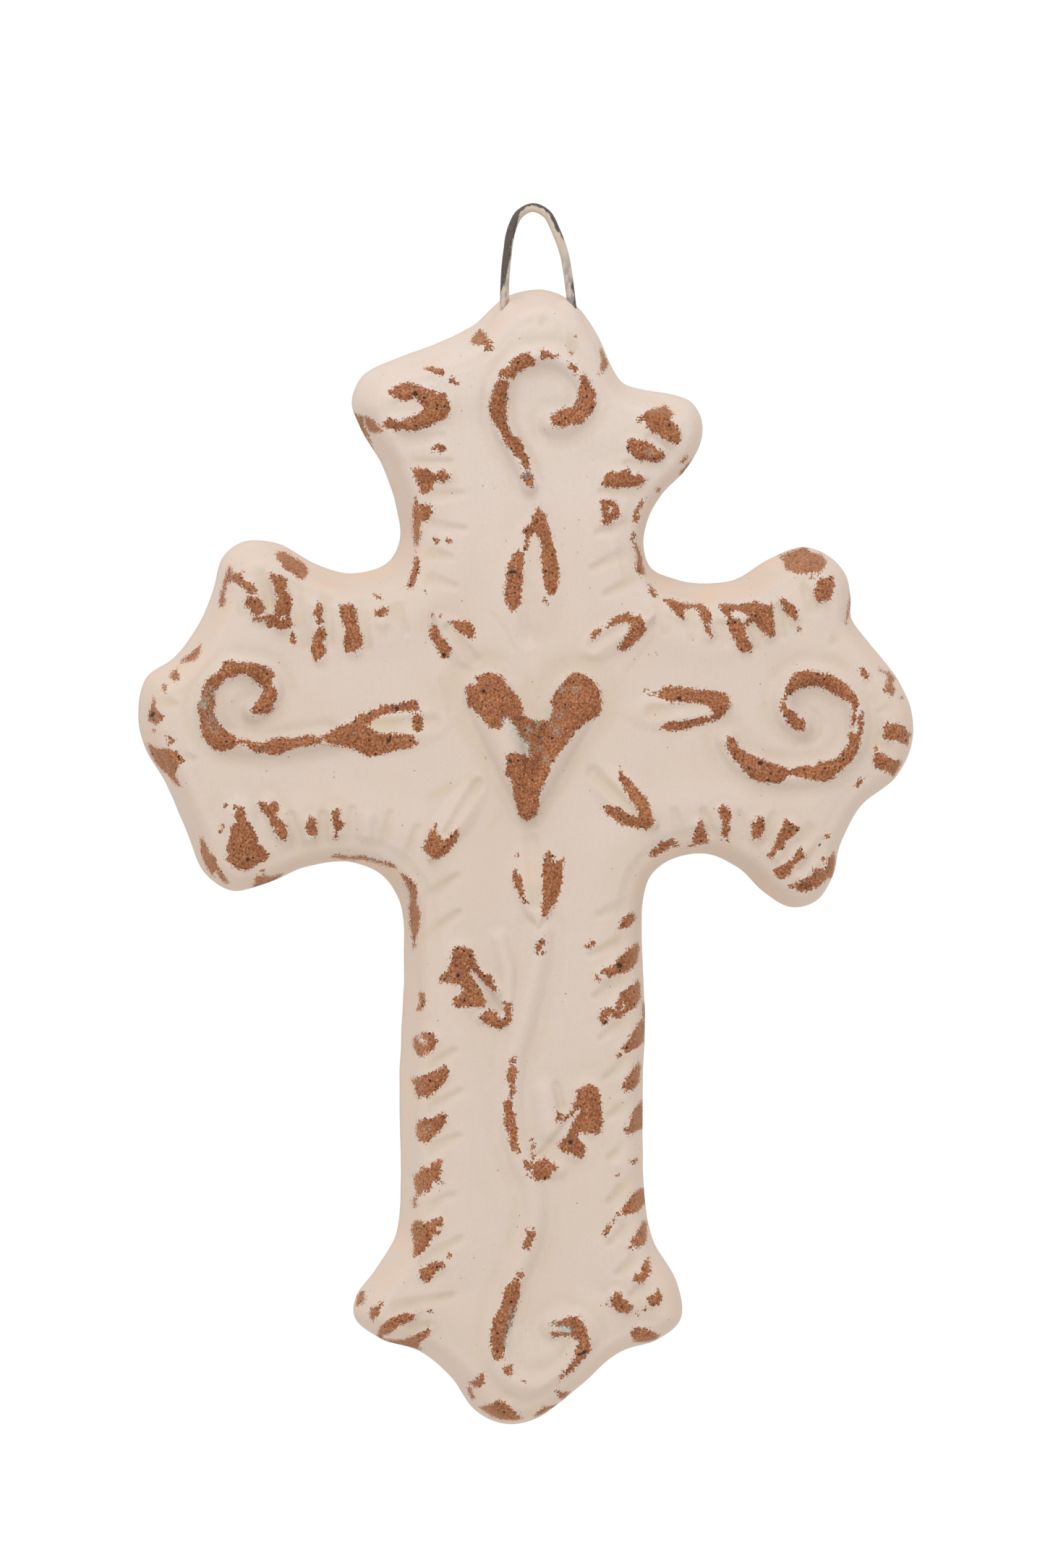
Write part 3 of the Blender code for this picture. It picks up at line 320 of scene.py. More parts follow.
# Patches rubbed bare: the corners of each one's edge, by place on the cross
PATCHES = {
    "top": [
        [(-4.7, 96.4), (-4.2, 95.9), (-3.9, 95.3), (-3.5, 95), (-3.8, 94.9), (-3.5, 94.5), (-4.2, 94.4),
         (-4.2, 94.9), (-5.2, 95), (-5.5, 95.2), (-5.2, 95.8)],
        [(6, 94.7), (6.5, 93.6), (6.5, 93.1), (5.9, 92.3), (5.9, 92.9), (6.1, 93.6), (5.9, 94.2)],
        [(-0.4, 94.2), (0, 93.8), (0.2, 93.4), (0.1, 93.1), (-0.4, 93), (-1, 92.6), (-1.5, 92.4),
         (-1.6, 92), (-2.5, 91.9), (-2.7, 92.2), (-3, 92), (-2.9, 92.6), (-1.6, 93.2), (-2.1, 93.3),
         (-1.4, 93.8), (-0.9, 94.1)],
        [(-3, 91.8), (-3.4, 91.2), (-3.7, 90.3), (-3.8, 89), (-3.5, 88.3), (-2.8, 87.3), (-2.3, 86.1),
         (-1.5, 85.1), (-1.1, 84.9), (-0.9, 84.1), (-0.3, 84), (-0.4, 84.8), (-0.9, 86), (-1.3, 86.8),
         (-1.9, 87), (-2.3, 88), (-2.4, 89.8), (-2.2, 90.9), (-2.2, 91.7)],
        [(-0.4, 83.8), (0, 83.4), (0, 82.4), (-0.2, 82.4), (-0.6, 82.7), (-1, 83.3), (-0.8, 83.7)],
        [(0.7, 94.3), (1, 94.4), (1.5, 94.1), (1.8, 93.9), (2.2, 94), (2.3, 93.7), (1.8, 93.7),
         (1.3, 93.8), (0.7, 93.7)],
        [(3, 93.5), (3.4, 93.3), (3.9, 92.8), (3.7, 92.4), (3.2, 92.9)],
        [(4, 92.2), (4.6, 92.2), (4.9, 91.7), (5.1, 91.1), (5.4, 90.9), (5.4, 90), (5.3, 89.1),
         (4.9, 88.8), (4.3, 88), (3.4, 87.9), (2.4, 87.6), (1.8, 87.9), (1.5, 88.4), (1.7, 88.7),
         (2.8, 89.3), (3.5, 89.4), (4, 90.2), (4.1, 91), (4.2, 91.6)],
    ],
    "top left lobe": [
        [(-12.7, 90.7), (-12.2, 91.1), (-11.5, 91.5), (-10.9, 91.6), (-10.4, 91.4), (-9.9, 91.3),
         (-9.4, 91), (-8.8, 90.9), (-8.4, 90.6), (-7.7, 90.7), (-7.5, 90.1), (-7.3, 89.2), (-7.5, 88.6),
         (-8.1, 88.3), (-8.7, 88), (-9.4, 87.7), (-10.3, 87.4), (-11.1, 87.4), (-11.5, 87.6),
         (-11.9, 87.3), (-12.2, 87.6), (-13, 87.7), (-13.2, 88), (-12.6, 88.5), (-12.1, 88.2),
         (-11.5, 88.2), (-10.6, 88.6), (-10, 88.9), (-9.6, 89.3), (-9.7, 89.7), (-10.2, 90.1),
         (-11.6, 90.1), (-12.3, 90.4)],
        [(-14.9, 88.7), (-14.5, 88.6), (-14, 88.3), (-13.7, 87.9), (-13.2, 87.4), (-13.9, 87.2),
         (-14.3, 87.5), (-14.6, 87.9)],
        [(-15.8, 89.1), (-15, 88.7), (-14.9, 87.9), (-14.5, 87.1), (-14.3, 86.4), (-14.1, 85.7),
         (-14.6, 86.6), (-15.2, 87.6), (-15.7, 88.6)],
        [(-9.6, 92.9), (-8.8, 93), (-8.1, 92.8), (-7.7, 92.6), (-7.8, 92.2), (-8.4, 92.3), (-8.9, 92.6)],
        [(-10.5, 84), (-10.1, 84.1), (-9, 83.9), (-8.8, 83.5), (-8.3, 83.2), (-8.7, 82.8), (-8.6, 82.4),
         (-9.1, 82), (-9.8, 81.8), (-10, 82.4), (-10.1, 83), (-10.4, 83.5)],
        [(-8.5, 83.5), (-7.9, 83.9), (-7.3, 83.5), (-7.3, 83.2), (-7.7, 82.8), (-8.3, 83)],
        [(-10.3, 81.6), (-10.1, 81), (-10, 79.5), (-9.9, 78.4), (-10, 77.9), (-10.3, 77.1), (-10.5, 78.4),
         (-10.5, 80.2)],
        [(-10, 80.7), (-9.4, 80.9), (-8.9, 80.7), (-8.9, 80.1), (-9.3, 79.6), (-9.8, 79.4), (-10, 79.9)],
        [(-10.3, 76.5), (-10, 76.2), (-10, 75.3), (-10.2, 74.6), (-10.4, 74), (-10.8, 73.6), (-11, 73.8),
         (-10.7, 74.6), (-10.5, 75.6)],
    ],
    "top right lobe": [
        [(9.1, 88.3), (9.5, 88.7), (10, 89), (10.5, 89.3), (11.2, 89.4), (11.6, 89.7), (11.8, 89.4),
         (12.3, 88.8), (12, 88.6), (12.1, 88.2), (12.7, 87.7), (12.9, 87.2), (12.9, 86.4), (12.6, 86.2),
         (12.1, 86.4), (11.2, 86.9), (10.5, 87.2), (10, 87.7), (10, 88.2), (9.6, 88.4), (9.3, 88.1)],
        [(8.3, 85.8), (8.3, 86.3), (8.7, 86.7), (9, 86.5), (10, 86.4), (10.8, 85.8), (11.4, 85.5),
         (11.6, 85.2), (11.2, 84.7), (10.8, 84.6), (10, 84.8), (9.4, 84.8), (8.8, 85.2)],
        [(6, 82.7), (6.2, 83.1), (6.6, 83.7), (7, 83.8), (7.1, 83.4), (7.5, 83.7), (8.4, 84), (8.6, 83.4),
         (9.4, 83.5), (9.8, 83), (9.4, 82.5), (7, 82.4), (6.3, 82.5)],
        [(5.9, 81.2), (6.6, 81.3), (7.2, 81.1), (7.4, 80.7), (7.6, 80.1), (7.3, 79.7), (6.9, 79.5),
         (6.5, 79.1), (6.2, 79.2), (6.1, 80.1), (6, 80.7)],
        [(9.9, 81.6), (9.5, 80.8), (9.2, 80.2), (9.3, 79.6), (9.1, 79.2), (8.8, 79.6), (8.9, 80.2),
         (9.2, 80.9)],
        [(8.9, 77.6), (9.3, 77), (9.5, 76.4), (9.6, 75.6), (9.8, 74.9), (9.6, 74.7), (9, 75.2),
         (9.2, 75.9), (9.2, 76.6), (8.9, 77.1)],
        [(10.1, 74), (10.6, 73.5), (10.7, 73.1), (11.1, 72.9), (10.8, 72.7), (10.3, 73), (10.2, 73.5)],
    ],
    "petals": [
        [(0.5, 80.7), (0.7, 80.2), (1.1, 79.9), (1.2, 79.2), (1.5, 78.7), (1.8, 77.1), (2.1, 76.2),
         (2.3, 75.1), (2.2, 74.2), (2, 73.3), (1.7, 72.9), (1.2, 73.1), (1, 74.1), (0.8, 75.4),
         (0.8, 77.1), (0.6, 78), (0.3, 78.5), (0, 78.5), (-0.3, 77.9), (-0.6, 77.9), (-0.9, 78.4),
         (-0.7, 78.8), (-0.1, 79.3), (0, 79.9)],
        [(-1.3, 76.9), (-0.9, 76.6), (-0.8, 76), (-0.9, 75.1), (-1, 74.1), (-1.1, 72.2), (-1.5, 71.7),
         (-1.9, 71.6), (-2.3, 72.2), (-2.5, 73.1), (-2.3, 74), (-2.2, 75.7), (-1.8, 76.2)],
        [(-8.8, 70.3), (-8.4, 70.2), (-8.2, 69.5), (-7.7, 69), (-7.3, 68.3), (-7.2, 67.8), (-7.6, 67.5),
         (-8, 67.5), (-8.2, 68), (-8.6, 68.6), (-9, 69.4), (-9, 70)],
        [(-7.3, 70.5), (-6.7, 70.7), (-5.9, 70.7), (-5.3, 70.3), (-5.1, 69.9), (-5.3, 69.2), (-5.7, 69.2),
         (-5.9, 69.5), (-6.5, 69.7), (-6.9, 70.2)],
        [(6.4, 70.1), (6.9, 70.8), (7.6, 71.2), (8.4, 71.4), (8.9, 71), (9.3, 71.2), (9.7, 70.5),
         (9.8, 69.9), (9.6, 69.4), (8.3, 68.2), (7.9, 68.1), (7.4, 68.2), (7.8, 68.8), (8.3, 69.5),
         (8.6, 70.5), (8, 70.6), (7.3, 70.5), (6.7, 70.1)],
        [(6, 70.1), (5.9, 69.7), (5.5, 69.3), (5.2, 69.1), (5.1, 69.6), (5.6, 69.9)],
        [(11, 64), (11, 64.3), (11.3, 64.8), (12, 64.9), (13, 64.9), (14.3, 64.7), (15.6, 64.5),
         (16.6, 64.4), (17.2, 64), (17.2, 63.3), (16.8, 62.6), (16.1, 62), (15, 61.7), (14.3, 61.5),
         (13.4, 61.2), (12.4, 61.1), (11.2, 61.2), (11.5, 61.7), (12, 61.9), (13, 61.8), (13.9, 62),
         (14.8, 62.3), (15.5, 62.1), (15.8, 62.6), (15.6, 63.1), (15.1, 63.4), (14, 63.6), (13, 63.6),
         (12, 63.7)],
        [(7.7, 57.9), (7.9, 57.2), (8.3, 56.9), (8.9, 56.3), (9.4, 55.6), (9.8, 55.3), (10.1, 54.6),
         (10.6, 53.1), (10.4, 52.8), (9.9, 52.4), (9.4, 52.6), (8.1, 52.8), (7.4, 53.1), (6.7, 53.6),
         (6.2, 54.4), (6.6, 54.5), (7.4, 54.3), (8.1, 53.8), (9.2, 53.5), (9.3, 53.9), (9.1, 54.4),
         (8.4, 55.2), (8, 56.2), (7.6, 56.7), (7.6, 57.2)],
        [(1.4, 50.5), (1.9, 50), (1.6, 49.9), (1.7, 49.6), (2.1, 49.4), (2.4, 49.8), (2.7, 49.9),
         (2.7, 49.4), (2.5, 48.9), (2.6, 48.1), (2.4, 47.3), (2.3, 46.8), (2, 46), (1.5, 45.6), (1.3, 45),
         (1.2, 44.7), (0.9, 44.8), (0.8, 45.4), (0.9, 46), (0.9, 48.9), (1, 49.9), (1.1, 50.3)],
        [(-1.5, 48.9), (-1.4, 48.4), (-1, 48.2), (-0.9, 47.4), (-0.8, 46.5), (-1.1, 46.4), (-1.3, 46.9),
         (-1.6, 47.6), (-1.8, 48.1), (-1.7, 48.6)],
        [(-8.7, 52.4), (-8.3, 51.9), (-8.1, 51.5), (-7.6, 51.5), (-7.1, 52), (-6.6, 52.4), (-6.5, 51.9),
         (-6.9, 51.2), (-7.3, 50.7), (-7.6, 50.3), (-8.3, 49.9), (-8.9, 50), (-9.4, 50.4), (-9.6, 50.8),
         (-9.4, 51.4), (-9.1, 51.7), (-9.1, 52.1)],
        [(-18.4, 60.3), (-18, 60.8), (-17, 61.4), (-16.1, 61.6), (-15, 62.5), (-13.9, 62.9),
         (-13.3, 63.3), (-12.1, 63.3), (-11.1, 63.6), (-10.3, 63.8), (-10.1, 63.3), (-10, 62.8),
         (-11.1, 62.8), (-12.1, 62.7), (-13.2, 62.5), (-14.2, 61.9), (-14.5, 61.4), (-14, 61),
         (-13.2, 60.8), (-10.6, 60.7), (-10.4, 60.3), (-10.2, 59.9), (-10.6, 59.6), (-11.9, 59.4),
         (-13.2, 59.1), (-14.2, 58.8), (-15, 59.1), (-15.7, 59.5), (-17, 59.8), (-18, 60)],
        [(-10.4, 62.2), (-9.7, 62.2), (-9.8, 61.3), (-10.3, 61.1), (-10.5, 61.3), (-10.2, 61.7)],
    ],
    "heart": [
        [(-5, 65.7), (-4, 66.1), (-3.2, 66), (-2.8, 65.9), (-2.4, 65.2), (-2, 64.7), (-1.4, 64.1),
         (-1, 63.4), (-0.8, 62.4), (-0.3, 62.1), (0.3, 61.9), (0.9, 62), (1.4, 61.8), (1.6, 62.4),
         (1.8, 63), (1.6, 63.6), (2, 64.4), (2.5, 65.1), (3, 65.6), (3.6, 66.2), (4.3, 66), (5, 65.7),
         (5.5, 65.1), (5.9, 64.3), (6, 63.3), (5.8, 62.6), (5.1, 62), (4.4, 61.6), (3.8, 61.1),
         (3.2, 60.4), (2.3, 59.1), (1.8, 58.4), (1.4, 58), (1.3, 57.2), (1, 56.5), (0.6, 55.9),
         (0.4, 55.2), (0.5, 54.6), (0.3, 53.8), (-0.1, 53.4), (-0.7, 53.2), (-1.2, 53.8), (-1.4, 54.6),
         (-1.7, 55.4), (-1.9, 57), (-2.4, 57.2), (-2.3, 58.1), (-2.3, 58.8), (-1.7, 59.1), (-0.9, 59),
         (-0.4, 58.7), (0.1, 58.8), (-0.3, 59.2), (-0.4, 59.8), (-0.9, 60.3), (-1.3, 60.9), (-1.6, 61.6),
         (-2, 62.1), (-2.6, 62.2), (-2.8, 61.3), (-3.4, 61.3), (-4, 61.5), (-4.5, 62.3), (-5, 62.7),
         (-5.3, 63.1), (-5.7, 63.3), (-5.9, 64.9), (-5.2, 65.1), (-4.8, 65.3)],
    ],
    "left arm, top": [
        [(-26.7, 75.6), (-26.5, 75.1), (-26.5, 74.4), (-26.9, 74), (-27.1, 73.2), (-27.1, 72.1),
         (-27.5, 72), (-27.6, 72.4), (-27.4, 73.2), (-27.2, 74.1), (-26.9, 75)],
        [(-26.5, 74.7), (-26.1, 74.9), (-25.5, 74.8), (-25.3, 74.1), (-24.9, 74.1), (-24.4, 73.7),
         (-24.3, 73.1), (-24.7, 73), (-25.3, 73.5), (-25.8, 73.9), (-26.3, 74.2), (-26.5, 74.3)],
        [(-25.2, 72.4), (-24.9, 72.8), (-24.3, 72.7), (-23.8, 72.4), (-23.4, 71.7), (-23.8, 71.3),
         (-24.6, 71.2), (-24.8, 71.8), (-25.2, 72)],
        [(-23.1, 74.8), (-22.8, 75), (-22.5, 74.6), (-21.9, 74.7), (-21.6, 74.1), (-21.7, 73.2),
         (-21.2, 72.8), (-21.2, 71.7), (-21.4, 71.1), (-21, 70.2), (-21.6, 70.1), (-22.1, 70),
         (-22.9, 70.2), (-23.4, 70.2), (-23, 71.2), (-22.5, 71.1), (-22.6, 71.9), (-22.3, 72.8),
         (-22.6, 73.2), (-22.7, 74), (-23, 74.4)],
        [(-22.6, 76.7), (-22, 76.8), (-21.1, 76.3), (-20.2, 75.8), (-19.8, 75.2), (-19.9, 74.6),
         (-20.3, 74.3), (-21.1, 74.9), (-21.9, 75.4), (-22.1, 75.9), (-22.5, 76.3)],
        [(-18.8, 72.3), (-18.5, 71.8), (-18.6, 71.1), (-18.4, 70.6), (-18.7, 70.4), (-19, 70.6),
         (-18.9, 71.1), (-19.3, 71.2), (-19, 71.9)],
        [(-18.8, 70.1), (-18.3, 70), (-18.2, 69.3), (-18.5, 68.8), (-18.2, 68.2), (-18.3, 67.8),
         (-18.7, 67.5), (-19.1, 67.1), (-19.3, 67.8), (-19.5, 68.1), (-19.3, 68.9), (-19.1, 69.6)],
        [(-17, 71.6), (-16.9, 72.1), (-15.9, 72.1), (-15.4, 71.6), (-15.5, 71), (-15.3, 70.1),
         (-15.1, 69.5), (-15, 68.5), (-15.6, 68.1), (-16.3, 68), (-16.6, 68.4), (-16.5, 69.2),
         (-16.4, 70), (-16.7, 70.7)],
        [(-13.8, 71.6), (-13.1, 71.9), (-12.7, 71.7), (-12.9, 71.2), (-13.6, 71), (-13.8, 71.2)],
    ],
    "left end": [
        [(-31, 67.1), (-30.7, 67.4), (-30, 67.9), (-29.2, 68.6), (-29.2, 68.1), (-29.6, 67.4),
         (-30.1, 67.2)],
        [(-31.4, 66.4), (-31.1, 66), (-31.1, 65.5), (-31.5, 65.5), (-31.9, 65.8), (-31.7, 66.2)],
        [(-33.3, 64), (-33.2, 63.2), (-32.9, 62.7), (-32.4, 62.4), (-32.6, 62), (-33.1, 61.6),
         (-33.8, 62), (-33.8, 62.6), (-33.5, 63.2)],
        [(-32.2, 60.6), (-31.7, 60.5), (-31.5, 60.1), (-32, 59.7), (-31.9, 60.2)],
        [(-33.9, 60), (-33.1, 59.5), (-32.1, 59.4), (-31.3, 59.3), (-30.9, 58.8), (-30.5, 58.4),
         (-31, 58.2), (-31.3, 57.6), (-31.5, 57.2), (-30.9, 56.1), (-31.6, 56.6), (-32.2, 57.3),
         (-33, 58), (-33.6, 59)],
    ],
    "left scroll": [
        [(-24.7, 62.8), (-24.5, 62.4), (-24.2, 62.6), (-23, 62.6), (-22.6, 63.7), (-22.5, 64.6),
         (-22.8, 64.9), (-22.9, 65.2), (-22.7, 66), (-22.9, 66.4), (-23.8, 66.8), (-24.9, 67),
         (-25.9, 67), (-26.6, 67.2), (-27, 67.1), (-27.4, 66.5), (-27.7, 66), (-28.4, 65.7),
         (-28.7, 65.2), (-29, 64.6), (-29, 64), (-29.3, 63.4), (-29.3, 62.7), (-29.1, 61.8), (-29, 60.6),
         (-28.5, 60), (-28, 59.4), (-27.3, 59.3), (-26.4, 59.5), (-25.9, 59.9), (-26, 60.4),
         (-26.6, 60.8), (-27.2, 61.3), (-27.6, 61.9), (-28, 62.6), (-27.9, 63.8), (-28, 64.5),
         (-27.7, 64.8), (-27.3, 65.3), (-26.9, 65.7), (-26.1, 65.9), (-25.2, 66.1), (-24.9, 65.9),
         (-24.4, 65.5), (-23.8, 65), (-23.5, 64.8), (-23.6, 64.3), (-24.1, 63.7), (-24.4, 63.2)],
        [(-25.9, 60.1), (-25.4, 60.3), (-25, 60.2), (-24, 59.9), (-23.2, 60.1), (-22.7, 60.4),
         (-21.7, 60.5), (-21, 60.3), (-20.3, 60.6), (-19.6, 60.6), (-18.6, 60.5), (-18.5, 60),
         (-19.4, 59.8), (-20.4, 59.7), (-21.2, 59.5), (-21.9, 59.1), (-22.8, 59), (-23.5, 59.2),
         (-24.3, 59.2), (-24.7, 59.5), (-25, 59.9), (-25.5, 59.9)],
    ],
    "left arm, bottom": [
        [(-29.1, 51.7), (-28.8, 51.2), (-28.5, 50.4), (-28, 50), (-27.6, 49.1), (-27.2, 48.4),
         (-26.7, 47.8), (-27, 47.7), (-27.5, 48.1), (-27.8, 48.8), (-28.2, 48.7), (-28, 48.2),
         (-28.6, 49), (-29, 49.8), (-29.2, 50.6), (-29.2, 51.4)],
        [(-26.5, 54.5), (-25.9, 54.5), (-25.4, 54.3), (-25.2, 53.6), (-25, 53.1), (-24.7, 52.8),
         (-24.2, 51.9), (-24.2, 51.2), (-23.7, 50.8), (-23.2, 50.2), (-23.4, 49.8), (-24.2, 49.4),
         (-24.8, 49), (-25.4, 48.9), (-26.1, 49), (-26.5, 49.5), (-26.9, 49.9), (-26.6, 50.1),
         (-26.9, 50.7), (-26.6, 51.5), (-26.5, 52.2), (-26.3, 52.8), (-25.8, 53), (-26.2, 53.6),
         (-25.9, 54.1)],
        [(-24.1, 54.7), (-23.7, 54.9), (-23.3, 54.6), (-22.5, 54.8), (-22.3, 54.4), (-22.6, 53.6),
         (-22.1, 53.2), (-21.6, 52.6), (-21.5, 52), (-21.8, 51.5), (-22.3, 51.7), (-22.4, 52.1),
         (-22.8, 52.2), (-22.3, 52.5), (-22.9, 52.7), (-23.1, 53.5), (-23.7, 54.1)],
        [(-19.5, 53.6), (-19.1, 53.2), (-18.9, 52.4), (-19.1, 51.8), (-19.6, 51.9), (-19.9, 52.5),
         (-19.8, 53.1)],
        [(-17.6, 54), (-17.2, 54.2), (-16.9, 54), (-17, 53.3), (-16.5, 52.8), (-17, 52.4), (-17.3, 52.1),
         (-17.5, 52.7), (-17.6, 53.5)],
        [(-24.4, 48.3), (-23.8, 48.3), (-22.9, 48.2), (-22, 48.5), (-22.5, 48), (-23.7, 47.5),
         (-24.8, 47.1), (-24.4, 47.7)],
        [(-17.7, 50), (-17, 50.2), (-16.3, 50), (-15, 50.1), (-14.3, 49.9), (-13.7, 49.7), (-12.6, 49.5),
         (-12, 49), (-13, 49.3), (-13.7, 49.5), (-14.4, 49.7), (-15.1, 49.8), (-16.3, 49.8)],
        [(-11.6, 48.6), (-10.9, 48.1), (-10.4, 47.6), (-10.2, 47), (-10.3, 46), (-9.9, 45.1), (-10, 44.5),
         (-10.1, 43.6), (-10.3, 43), (-10.4, 41.9), (-10.6, 43.2), (-10.8, 44.3), (-10.9, 45.6),
         (-10.7, 46.2), (-10.9, 47.1), (-11.3, 48)],
    ],
    "right arm, top": [
        [(11.5, 72.5), (11.8, 72.7), (12.4, 72.5), (13, 72.2), (14.1, 72.2), (14.9, 72.1), (15.3, 71.7),
         (15.6, 71.4), (15.6, 70.4), (15.3, 70.5), (15, 70.4), (14.7, 71), (14.7, 71.5), (14.1, 71.9),
         (13.4, 71.8), (13.2, 71.5), (13.2, 70.9), (12.6, 71.3), (12.2, 71.7), (11.8, 72.1)],
        [(16.3, 72.1), (17.1, 72.2), (17.9, 72.1), (19, 72.2), (19.5, 72.4), (20.4, 72.1), (20.9, 72.1),
         (21, 71.1), (21.1, 70.4), (21.2, 69.5), (20.8, 69.2), (20.3, 69.6), (19.9, 70.1), (19.1, 71),
         (18.6, 71.4), (17.9, 71.7), (17.3, 71.5), (17.5, 71), (18.4, 70.6), (18.5, 69.9), (18.8, 69),
         (19.2, 68.4), (19.1, 68), (18.4, 68), (17.9, 68.2), (17.8, 69), (17.3, 69.6), (17.1, 70.4),
         (17, 71.1), (16.6, 71.5)],
        [(21.6, 72.6), (22.1, 72.6), (22.4, 72.3), (22.9, 72), (23.2, 71.5), (23.1, 70.8), (22.6, 71),
         (22, 71.5), (21.9, 72.1)],
        [(21.7, 76.4), (22.4, 76.7), (24, 77.3), (24.2, 76.9), (25.4, 76.5), (25.8, 76), (25.6, 75.5),
         (25.2, 75), (24.1, 75), (23.1, 74.9), (22.2, 75.3), (22.1, 76)],
        [(25, 74.9), (25.1, 74.4), (25.5, 74.4), (26.3, 74.6), (26.4, 73.9), (26.3, 73.2), (26, 72.6),
         (25, 72.4), (24.7, 72.9), (24.7, 73.6), (25.1, 74.1)],
    ],
    "right end": [
        [(28, 73.1), (27.9, 71.9), (27.5, 70.5), (27.6, 71.5), (27.8, 72.4)],
        [(30.8, 66.3), (31.2, 66.3), (31.8, 65.7), (31.5, 65.2), (31.8, 64.7), (31.5, 64.1), (30.9, 64.6),
         (30.7, 64.5), (31.1, 65.3), (31.2, 65.9)],
        [(30.8, 61.4), (31.1, 61.8), (31.3, 61.5), (31.9, 61.7), (32.5, 61.4), (32.8, 60.9), (33.2, 60.8),
         (33, 60.3), (32.9, 59.8), (32.5, 60), (31.7, 60.3), (30.8, 60.3)],
        [(30, 59.9), (30.2, 59.1), (30.7, 59), (31.5, 58.5), (32.3, 58.4), (32.2, 57.9), (31.7, 57.1),
         (31.1, 57.5), (30.1, 57.8), (29.9, 58.2), (30, 59)],
    ],
    "right scroll": [
        [(23.6, 61), (23.8, 61.4), (23.8, 62), (23.2, 62.2), (23.1, 62.6), (22.3, 63), (22, 63.3),
         (22.1, 63.9), (22.8, 64.5), (23.6, 64.9), (24.4, 65), (25.4, 64.9), (26.1, 64.5), (27, 64),
         (27.9, 63.5), (28.1, 63), (27.9, 61.9), (28, 61.5), (28.3, 62), (28.3, 62.7), (28.5, 63.2),
         (28.4, 63.8), (28.2, 64.2), (27.9, 64.5), (27.5, 65.1), (26.9, 65.5), (26.1, 65.9), (25.2, 66.1),
         (23.6, 66.3), (23.1, 66.1), (22.6, 65.7), (22.3, 65.1), (22, 64.2), (21.8, 63.6), (21.7, 63.1),
         (22, 62.5), (22.3, 61.9), (22.9, 61.2)],
        [(16.9, 60.6), (17.4, 60.5), (17.7, 60.3), (18, 59.6), (18.8, 59.1), (19.6, 58.7), (20.4, 58.4),
         (21.7, 57.9), (22.3, 57.8), (22.4, 57.5), (23, 57.8), (24, 58), (24.6, 57.8), (25.1, 58.3),
         (26.1, 58.4), (26.8, 58.7), (27.3, 59.4), (27.8, 60.1), (27.6, 60.7), (27.9, 60.9), (28.2, 60.6),
         (28.7, 61.1), (28.7, 60.5), (28.5, 59.5), (28, 58.5), (27, 57.6), (26.3, 57), (25.7, 56.6),
         (24.9, 56.7), (24.1, 56.9), (23.1, 57.1), (22.4, 57.2), (22.1, 56.8), (21.7, 56.6), (20.8, 56.5),
         (19.8, 56.6), (18.9, 57.1), (18.4, 57.8), (17.7, 58.6), (17.1, 59.5), (17, 60.1)],
    ],
    "right arm, bottom": [
        [(10.2, 50.1), (10.5, 50.6), (10.8, 50.9), (11, 50.6), (11.2, 51.3), (11.6, 51.3), (12.2, 51.6),
         (12.9, 51), (12.1, 50.9), (11.5, 50.5), (10.7, 50.1)],
        [(14.7, 53.3), (15, 52.5), (15.4, 51.3), (14.1, 51), (13.6, 50.9), (14, 51.3), (14.2, 52.1),
         (14.4, 52.6)],
        [(16.6, 54.6), (17.1, 54.2), (17.4, 53.5), (17.1, 52.9), (17.2, 52.3), (17.1, 51.9), (16.6, 51.9),
         (16.6, 53.3), (16.3, 54)],
        [(19.7, 53.5), (20.2, 53.4), (20.3, 52.6), (19.9, 51.8), (19.5, 51.5), (19.2, 51.8), (19.2, 52.8),
         (19.5, 53.1)],
        [(22.1, 53.2), (22.6, 53), (23.1, 52.7), (23.4, 52.4), (22.9, 51.9), (22.2, 51.4), (21.9, 50.7),
         (21.4, 50.7), (20.9, 49.8), (20.6, 50.1), (21, 50.7), (21.4, 51.5), (21.7, 52.2)],
        [(23.3, 50.7), (23.6, 50.7), (23.8, 50), (23.1, 49.6), (22.6, 48.9), (22.3, 48.3), (21.9, 48.1),
         (21.3, 48.3), (21.1, 48.9), (22.2, 49.3), (22.8, 49.9), (23.1, 50.4)],
        [(26.4, 50.5), (26.6, 49.4), (26.3, 48.2), (25.8, 48.2), (25.2, 47.5), (24.2, 47.1), (23.5, 46.9),
         (22.9, 47.4), (22.4, 47.4), (23.2, 47.7), (24.1, 48.2), (24.6, 48.5), (24.6, 49), (25.2, 48.9),
         (25.8, 48.9), (25.9, 49.8), (26.2, 50.1)],
    ],
    "vine": [
        [(0.9, 42.9), (1.1, 42.3), (0.7, 42.1), (0.5, 41.4), (0.3, 41.6), (0.2, 42.1), (0.5, 42.6)],
        [(-1.5, 32.6), (-1.6, 32.1), (-1.8, 31.7), (-1.4, 31.2), (-1.5, 30.9), (-1.6, 30.3), (-1.6, 29.4),
         (-1.9, 28.7), (-1.8, 28), (-1.6, 27.1), (-1.4, 26.2), (-1.4, 25.2), (-1.2, 24.1), (-1.6, 24.2),
         (-2, 24.5), (-2.1, 25.9), (-2.4, 26.1), (-2.5, 28), (-2.5, 28.6), (-2.1, 28.6), (-2, 29.7),
         (-2.2, 30.4), (-2.3, 31), (-2.1, 31.5), (-2, 32.2)],
        [(0, 23.1), (0.7, 23.4), (1, 23.6), (1.6, 23.2), (2.2, 22.7), (1.6, 22.3), (1.2, 21.8),
         (0.4, 21.6), (0, 22)],
        [(-0.8, 23.5), (-0.5, 23.2), (-0.2, 23.3), (-0.1, 22.7), (-0.5, 22.5), (-0.7, 22.9)],
